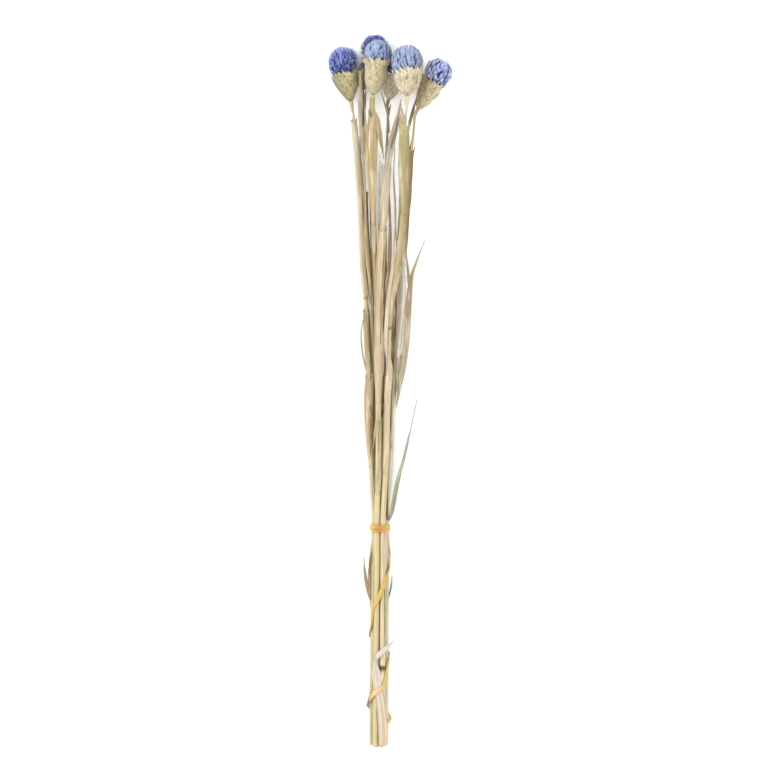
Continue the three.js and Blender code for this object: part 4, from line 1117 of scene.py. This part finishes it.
def make_florets(name, thistle):
    rng = np.random.default_rng(200 + int(name))
    look = HEAD_LOOKS[name]
    _, ball, axis, right, front = head_frame(thistle)
    radius = thistle["radius"]
    patch_way, patch_hex, patch_strength = look["side_tint_and_light"]
    root, middle, tip, side_tint_and_light = (linear(c) for c in (look["root"], look["middle"], look["tip"], patch_hex))
    patch_way = unit(np.array(patch_way, float))
    heap = Heap()
    turn = np.linspace(0, 2 * np.pi, 24, endpoint=False)
    core = on_ball(thistle, np.linspace(0.25, math.acos(-SEAT), 12)[:, None],
                   right * np.cos(turn)[None, :, None] + front * np.sin(turn)[None, :, None],
                   np.array(CORE_SIZE))
    # The core's tone is dark, as painted shade deep among the florets.
    heap.tube(core, (0, 0, 0), root * 0.6)
    t = np.linspace(0, 1, 8)
    phases = rng.uniform(0, 2 * np.pi, 3)
    for i in range(look["tufts"]):
        level = 1 - (i + 0.5) / look["tufts"] * (1 + 0.84)
        azimuth = i * GOLDEN + rng.uniform(-0.12, 0.12)
        polar = math.acos(level)
        lump = (math.sin(3 * azimuth + 2 * level + phases[0]) + math.sin(5 * azimuth - 3 * level + phases[1])
                + math.sin(4 * polar + azimuth + phases[2])) * look["lumpy"] / 2
        size = 1.03 + lump - rng.uniform(0, look["rough"])
        lie = max(0.05, look["lie"] + rng.uniform(-0.2, 0.2))
        lightness = rng.uniform(*look["shades"])
        spin = rng.uniform(0, 2 * np.pi)
        for j in range(look["petals"]):
            way = spin + j * 2 * np.pi / look["petals"] + rng.uniform(-0.5, 0.5)
            away = look["spread"] * rng.uniform(0.5, 1.1)
            ending = polar + away * math.sin(way) / radius
            swing = azimuth + away * math.cos(way) / (radius * max(0.35, math.sin(polar))) * t**1.5
            polars = np.clip(ending + lie * 0.95 * (1 - t) ** 1.2, 0.02, math.acos(-0.93))
            bend = 0.55 if lie > 0.5 else 0.8
            height = PETAL_ROOT + (size - PETAL_ROOT - rng.uniform(0, 0.03)) * t**bend
            radial = right * np.cos(swing)[:, None] + front * np.sin(swing)[:, None]
            path = on_ball(thistle, polars, radial, height)
            outward = unit(path - ball + 1e-6)
            across = unit(np.cross(outward, unit(np.gradient(path, axis=0))))
            roll = rng.uniform(-0.5, 0.5)
            across, outward = (across * math.cos(roll) + outward * math.sin(roll),
                               outward * math.cos(roll) - across * math.sin(roll))
            widths = look["width"] * (0.5 + 0.5 * ramp(t, 0, 0.5)) * (1 - ramp(t, 0.74, 1) * 0.84)
            widths = widths * rng.uniform(0.75, 1.15)
            # A petal's tone runs from its root, painted darker as shade deep in the ball, to a tip paled
            # partly by the dye.
            tone = root + (middle - root) * ramp(t, 0.25, 0.72)[:, None]
            tone = tone + (tip - tone) * (ramp(t, 0.5, 0.95) * rng.uniform(0.45, 1))[:, None]
            # One side of the ball is painted another colour: partly the head's own tint, partly painted light
            # and shade.
            facing = max(0.0, float(unit(path[-1] - ball) @ patch_way)) ** 3
            tone = tone + (side_tint_and_light - tone) * (patch_strength * facing * ramp(t, 0.35, 0.8))[:, None]
            add_petal(heap, path, across[:, None, :], outward[:, None, :], widths, 0.12 + 0.1 * look["width"],
                      tone * lightness * rng.uniform(0.88, 1.1), look["edge"], rng.uniform(0, 90))
    for _ in range(look["hairs"]):
        polar = math.acos(rng.uniform(-0.7, 1)) + 0.1 * rng.uniform(-1, 1) * t**2
        azimuth = rng.uniform(0, 2 * np.pi) + 0.15 * rng.uniform(-1, 1) * t**2
        radial = right * np.cos(azimuth)[:, None] + front * np.sin(azimuth)[:, None]
        path = on_ball(thistle, polar, radial, 0.74 + (rng.uniform(0.18, 0.3) + 0.11) * t)
        across = unit(np.cross(unit(path - ball), unit(np.gradient(path, axis=0)) + (0.01, 0.02, 0.03)))
        add_petal(heap, path, across[:, None, :], np.cross(across, axis)[:, None, :], 0.42 - 0.2 * t, 0.16,
                  tip + (linear("#DDE3EE") - tip) * t[:, None], 1.0, rng.uniform(0, 90))
    return make_piece("florets_" + name, heap, petal, ["bloom_" + name], sharp=60)


for name, thistle in THISTLES.items():
    make_florets(name, thistle)

# %% [markdown]
# ## The rubber band
#
# One long rubber band ties the bunch. It goes three times round the stems, pulled tight, and then winds
# down towards the cut ends in a loose spiral, with one slack loop. It is drawn as three closed turns and a
# spiral. Its section is a flat strip with soft corners. Round the tie, its path follows the six outer
# stems, and is smoothed a little. Lower down it follows a taut line round them, which is found for each
# direction as the nearest straight line that clears every stem.

# %% Make the turns round the tie
BAND_YELLOW, BAND_ORANGE = linear("#D2B24C"), linear("#C8842E")
TURN_WIDTH = 2.5
# Each turn's y, its thickness, and how far it slips along Y.
TURNS = ((-2.4, 1.0, 0.3), (0.0, 1.25, -0.35), (2.4, 1.05, 0.25))


def strip_section(width, thickness, corners=12):
    """A flat strip's section with soft corners, as offsets across and out."""
    a = np.linspace(0, 2 * np.pi, corners, endpoint=False)
    power = 0.45
    return (np.sign(np.cos(a)) * np.abs(np.cos(a)) ** power * width / 2,
            np.sign(np.sin(a)) * np.abs(np.sin(a)) ** power * thickness / 2)


def sweep_strip(heap, path, out, width, thickness, tone, closed=False):
    """A strip along a path: out says which way it faces, and width may change along it."""
    ahead = unit(np.roll(path, -1, 0) - np.roll(path, 1, 0)) if closed else unit(np.gradient(path, axis=0))
    side = unit(np.cross(ahead, out))
    u, v = strip_section(1, thickness)
    u = u * (np.ones(len(path)) * width)[:, None]
    points = path[:, None] + side[:, None] * u[..., None] + out[:, None] * v[None, :, None]
    length = np.concatenate([[0], np.cumsum(np.linalg.norm(np.diff(path, axis=0), axis=1))])
    grain = np.stack(np.broadcast_arrays(u, length[:, None], 5.0), -1)
    if closed:
        numbers = heap.put(points, grain, tone[:, None, :])
        numbers = np.concatenate([numbers, numbers[:1]])
        heap.join(np.concatenate([numbers, numbers[:, :1]], 1))
    else:
        heap.tube(points, grain, tone[:, None, :])


heap = Heap()
band_middle = packed((0, 0), 0)[2]
for turn, (y, thickness, slip) in enumerate(TURNS):
    ring, out = [], []
    for k in range(6):
        bearing = k * math.pi / 3
        centre = np.array([math.cos(bearing), 0, math.sin(bearing)]) * TIE_SPACING + (0, 0, band_middle)
        for a in np.linspace(bearing - math.pi / 6, bearing + math.pi / 6, 9):
            away = np.array([math.cos(a), 0, math.sin(a)])
            sag = 0.5 - 1.1 * (1 - away[0] ** 2) * (away[2] > 0)
            along = y * (1 - 0.6 * away[0] ** 10) + sag
            ring.append(centre + away * (TIE_CULM_RADIUS + GAP + thickness / 2) + (0, along, 0))
            out.append(away)
    ring, out = np.array(ring), np.array(out)
    bearing = np.arctan2(ring[:, 2] - band_middle, ring[:, 0])
    ring[:, 1] += slip * np.sin(bearing * 2 + turn)
    for _ in range(4):
        ring = (np.roll(ring, 1, 0) + 2 * ring + np.roll(ring, -1, 0)) / 4
    middle = np.exp(-((ring[:, 0] / 5.5) ** 2))[:, None]
    tone = BAND_YELLOW + (BAND_ORANGE - BAND_YELLOW) * middle
    sweep_strip(heap, ring, out, TURN_WIDTH, thickness, tone, closed=True)
print("three turns,", round(np.ptp(ring[:, 0]), 1), "mm across")

# %% Make the loose spiral and join it to the turns
# The spiral's route, listed as (y, angle in radians round the bunch).
WINDING = np.array([
    (-2.6, -0.6), (-18, -0.35), (-31, 0.09), (-40, 0.27), (-49, 0.88), (-62, 1.41), (-73, 1.9),
    (-78, 2.25), (-88, 2.45), (-100, 2.85), (-108, 3.7), (-116, 4.9), (-125, 6.28), (-142, 6.99),
    (-156, 7.5), (-160, 8.03), (-170, 9.1), (-176, 9.7), (-180, 11.2), (-182, 12.2), (-186.5, 12.57),
    (-190.5, 12.95), (-192, 13.3),
])
ARC = 11  # millimetres of band to a radian
SPIRAL_WIDTH, SPIRAL_THICKNESS = 3.1, 0.95
SPIRAL_CLEARANCE = 1.12  # from a stem's skin to the middle of the band
SLACK_LOOP = 12.57  # the angle where its last stretch bows out as a slack loop, on its edge


def taut_distance(y, turn, clearance):
    """How far from the bunch's middle a taut line runs, at height y and angle turn."""
    middle = np.array(packed((0, 0), y))[[0, 2]]
    centres = np.array([along_stem(t, np.array([y]))[0][0] for t in THISTLES.values()])[:, [0, 2]] - middle
    lean = np.arange(-1.3, 1.31, 0.05)
    ways = np.stack([np.cos(turn + lean), np.sin(turn + lean)], -1)
    return float((((centres @ ways.T).max(0) + culm_radius(y) + clearance) / np.cos(lean)).min())


run = smooth_line(np.stack([WINDING[:, 1] * ARC, WINDING[:, 0], 0 * WINDING[:, 0]], -1), 14)
path, out = [], []
for arc, y, _ in run:
    turn = arc / ARC
    slack = 0.6 * math.exp(-(((turn - SLACK_LOOP) / 0.45) ** 2))
    slack += 0.9 * math.exp(-(((turn - 8.1) / 0.8) ** 2))
    away = np.array([math.cos(turn), 0, math.sin(turn)])
    path.append(np.array(packed((0, 0), y)) + away * (taut_distance(y, turn, SPIRAL_CLEARANCE) + slack))
    upright = 0.7 * math.exp(-(((turn - SLACK_LOOP) / 0.5) ** 2))
    out.append(away * (1 - upright) + UP * upright)
path, out = np.array(path), unit(np.array(out))
for _ in range(3):
    path[1:-1] = (path[:-2] + 2 * path[1:-1] + path[2:]) / 4
wave = 0.5 + 0.5 * np.sin(np.arange(len(path)) / 17)[:, None]
turn = run[:, 0] / ARC
width = SPIRAL_WIDTH + 1.3 * np.exp(-(((turn - 1.3) / 0.5) ** 2)) + 1.7 * np.exp(-(((turn - 8.2) / 0.7) ** 2))
tone = BAND_YELLOW + (BAND_ORANGE - BAND_YELLOW) * 0.7 * wave
tone = tone + (linear("#F0CDA0") - tone) * (0.7 * np.exp(-(((turn - 8.2) / 0.7) ** 2)))[:, None]
sweep_strip(heap, path, out, width, SPIRAL_THICKNESS, tone)
make_piece("rubber_band_wound", heap, rubber, ["rubber_band"])
print("spiral length", round(np.linalg.norm(np.diff(path, axis=0), axis=1).sum()), "mm")
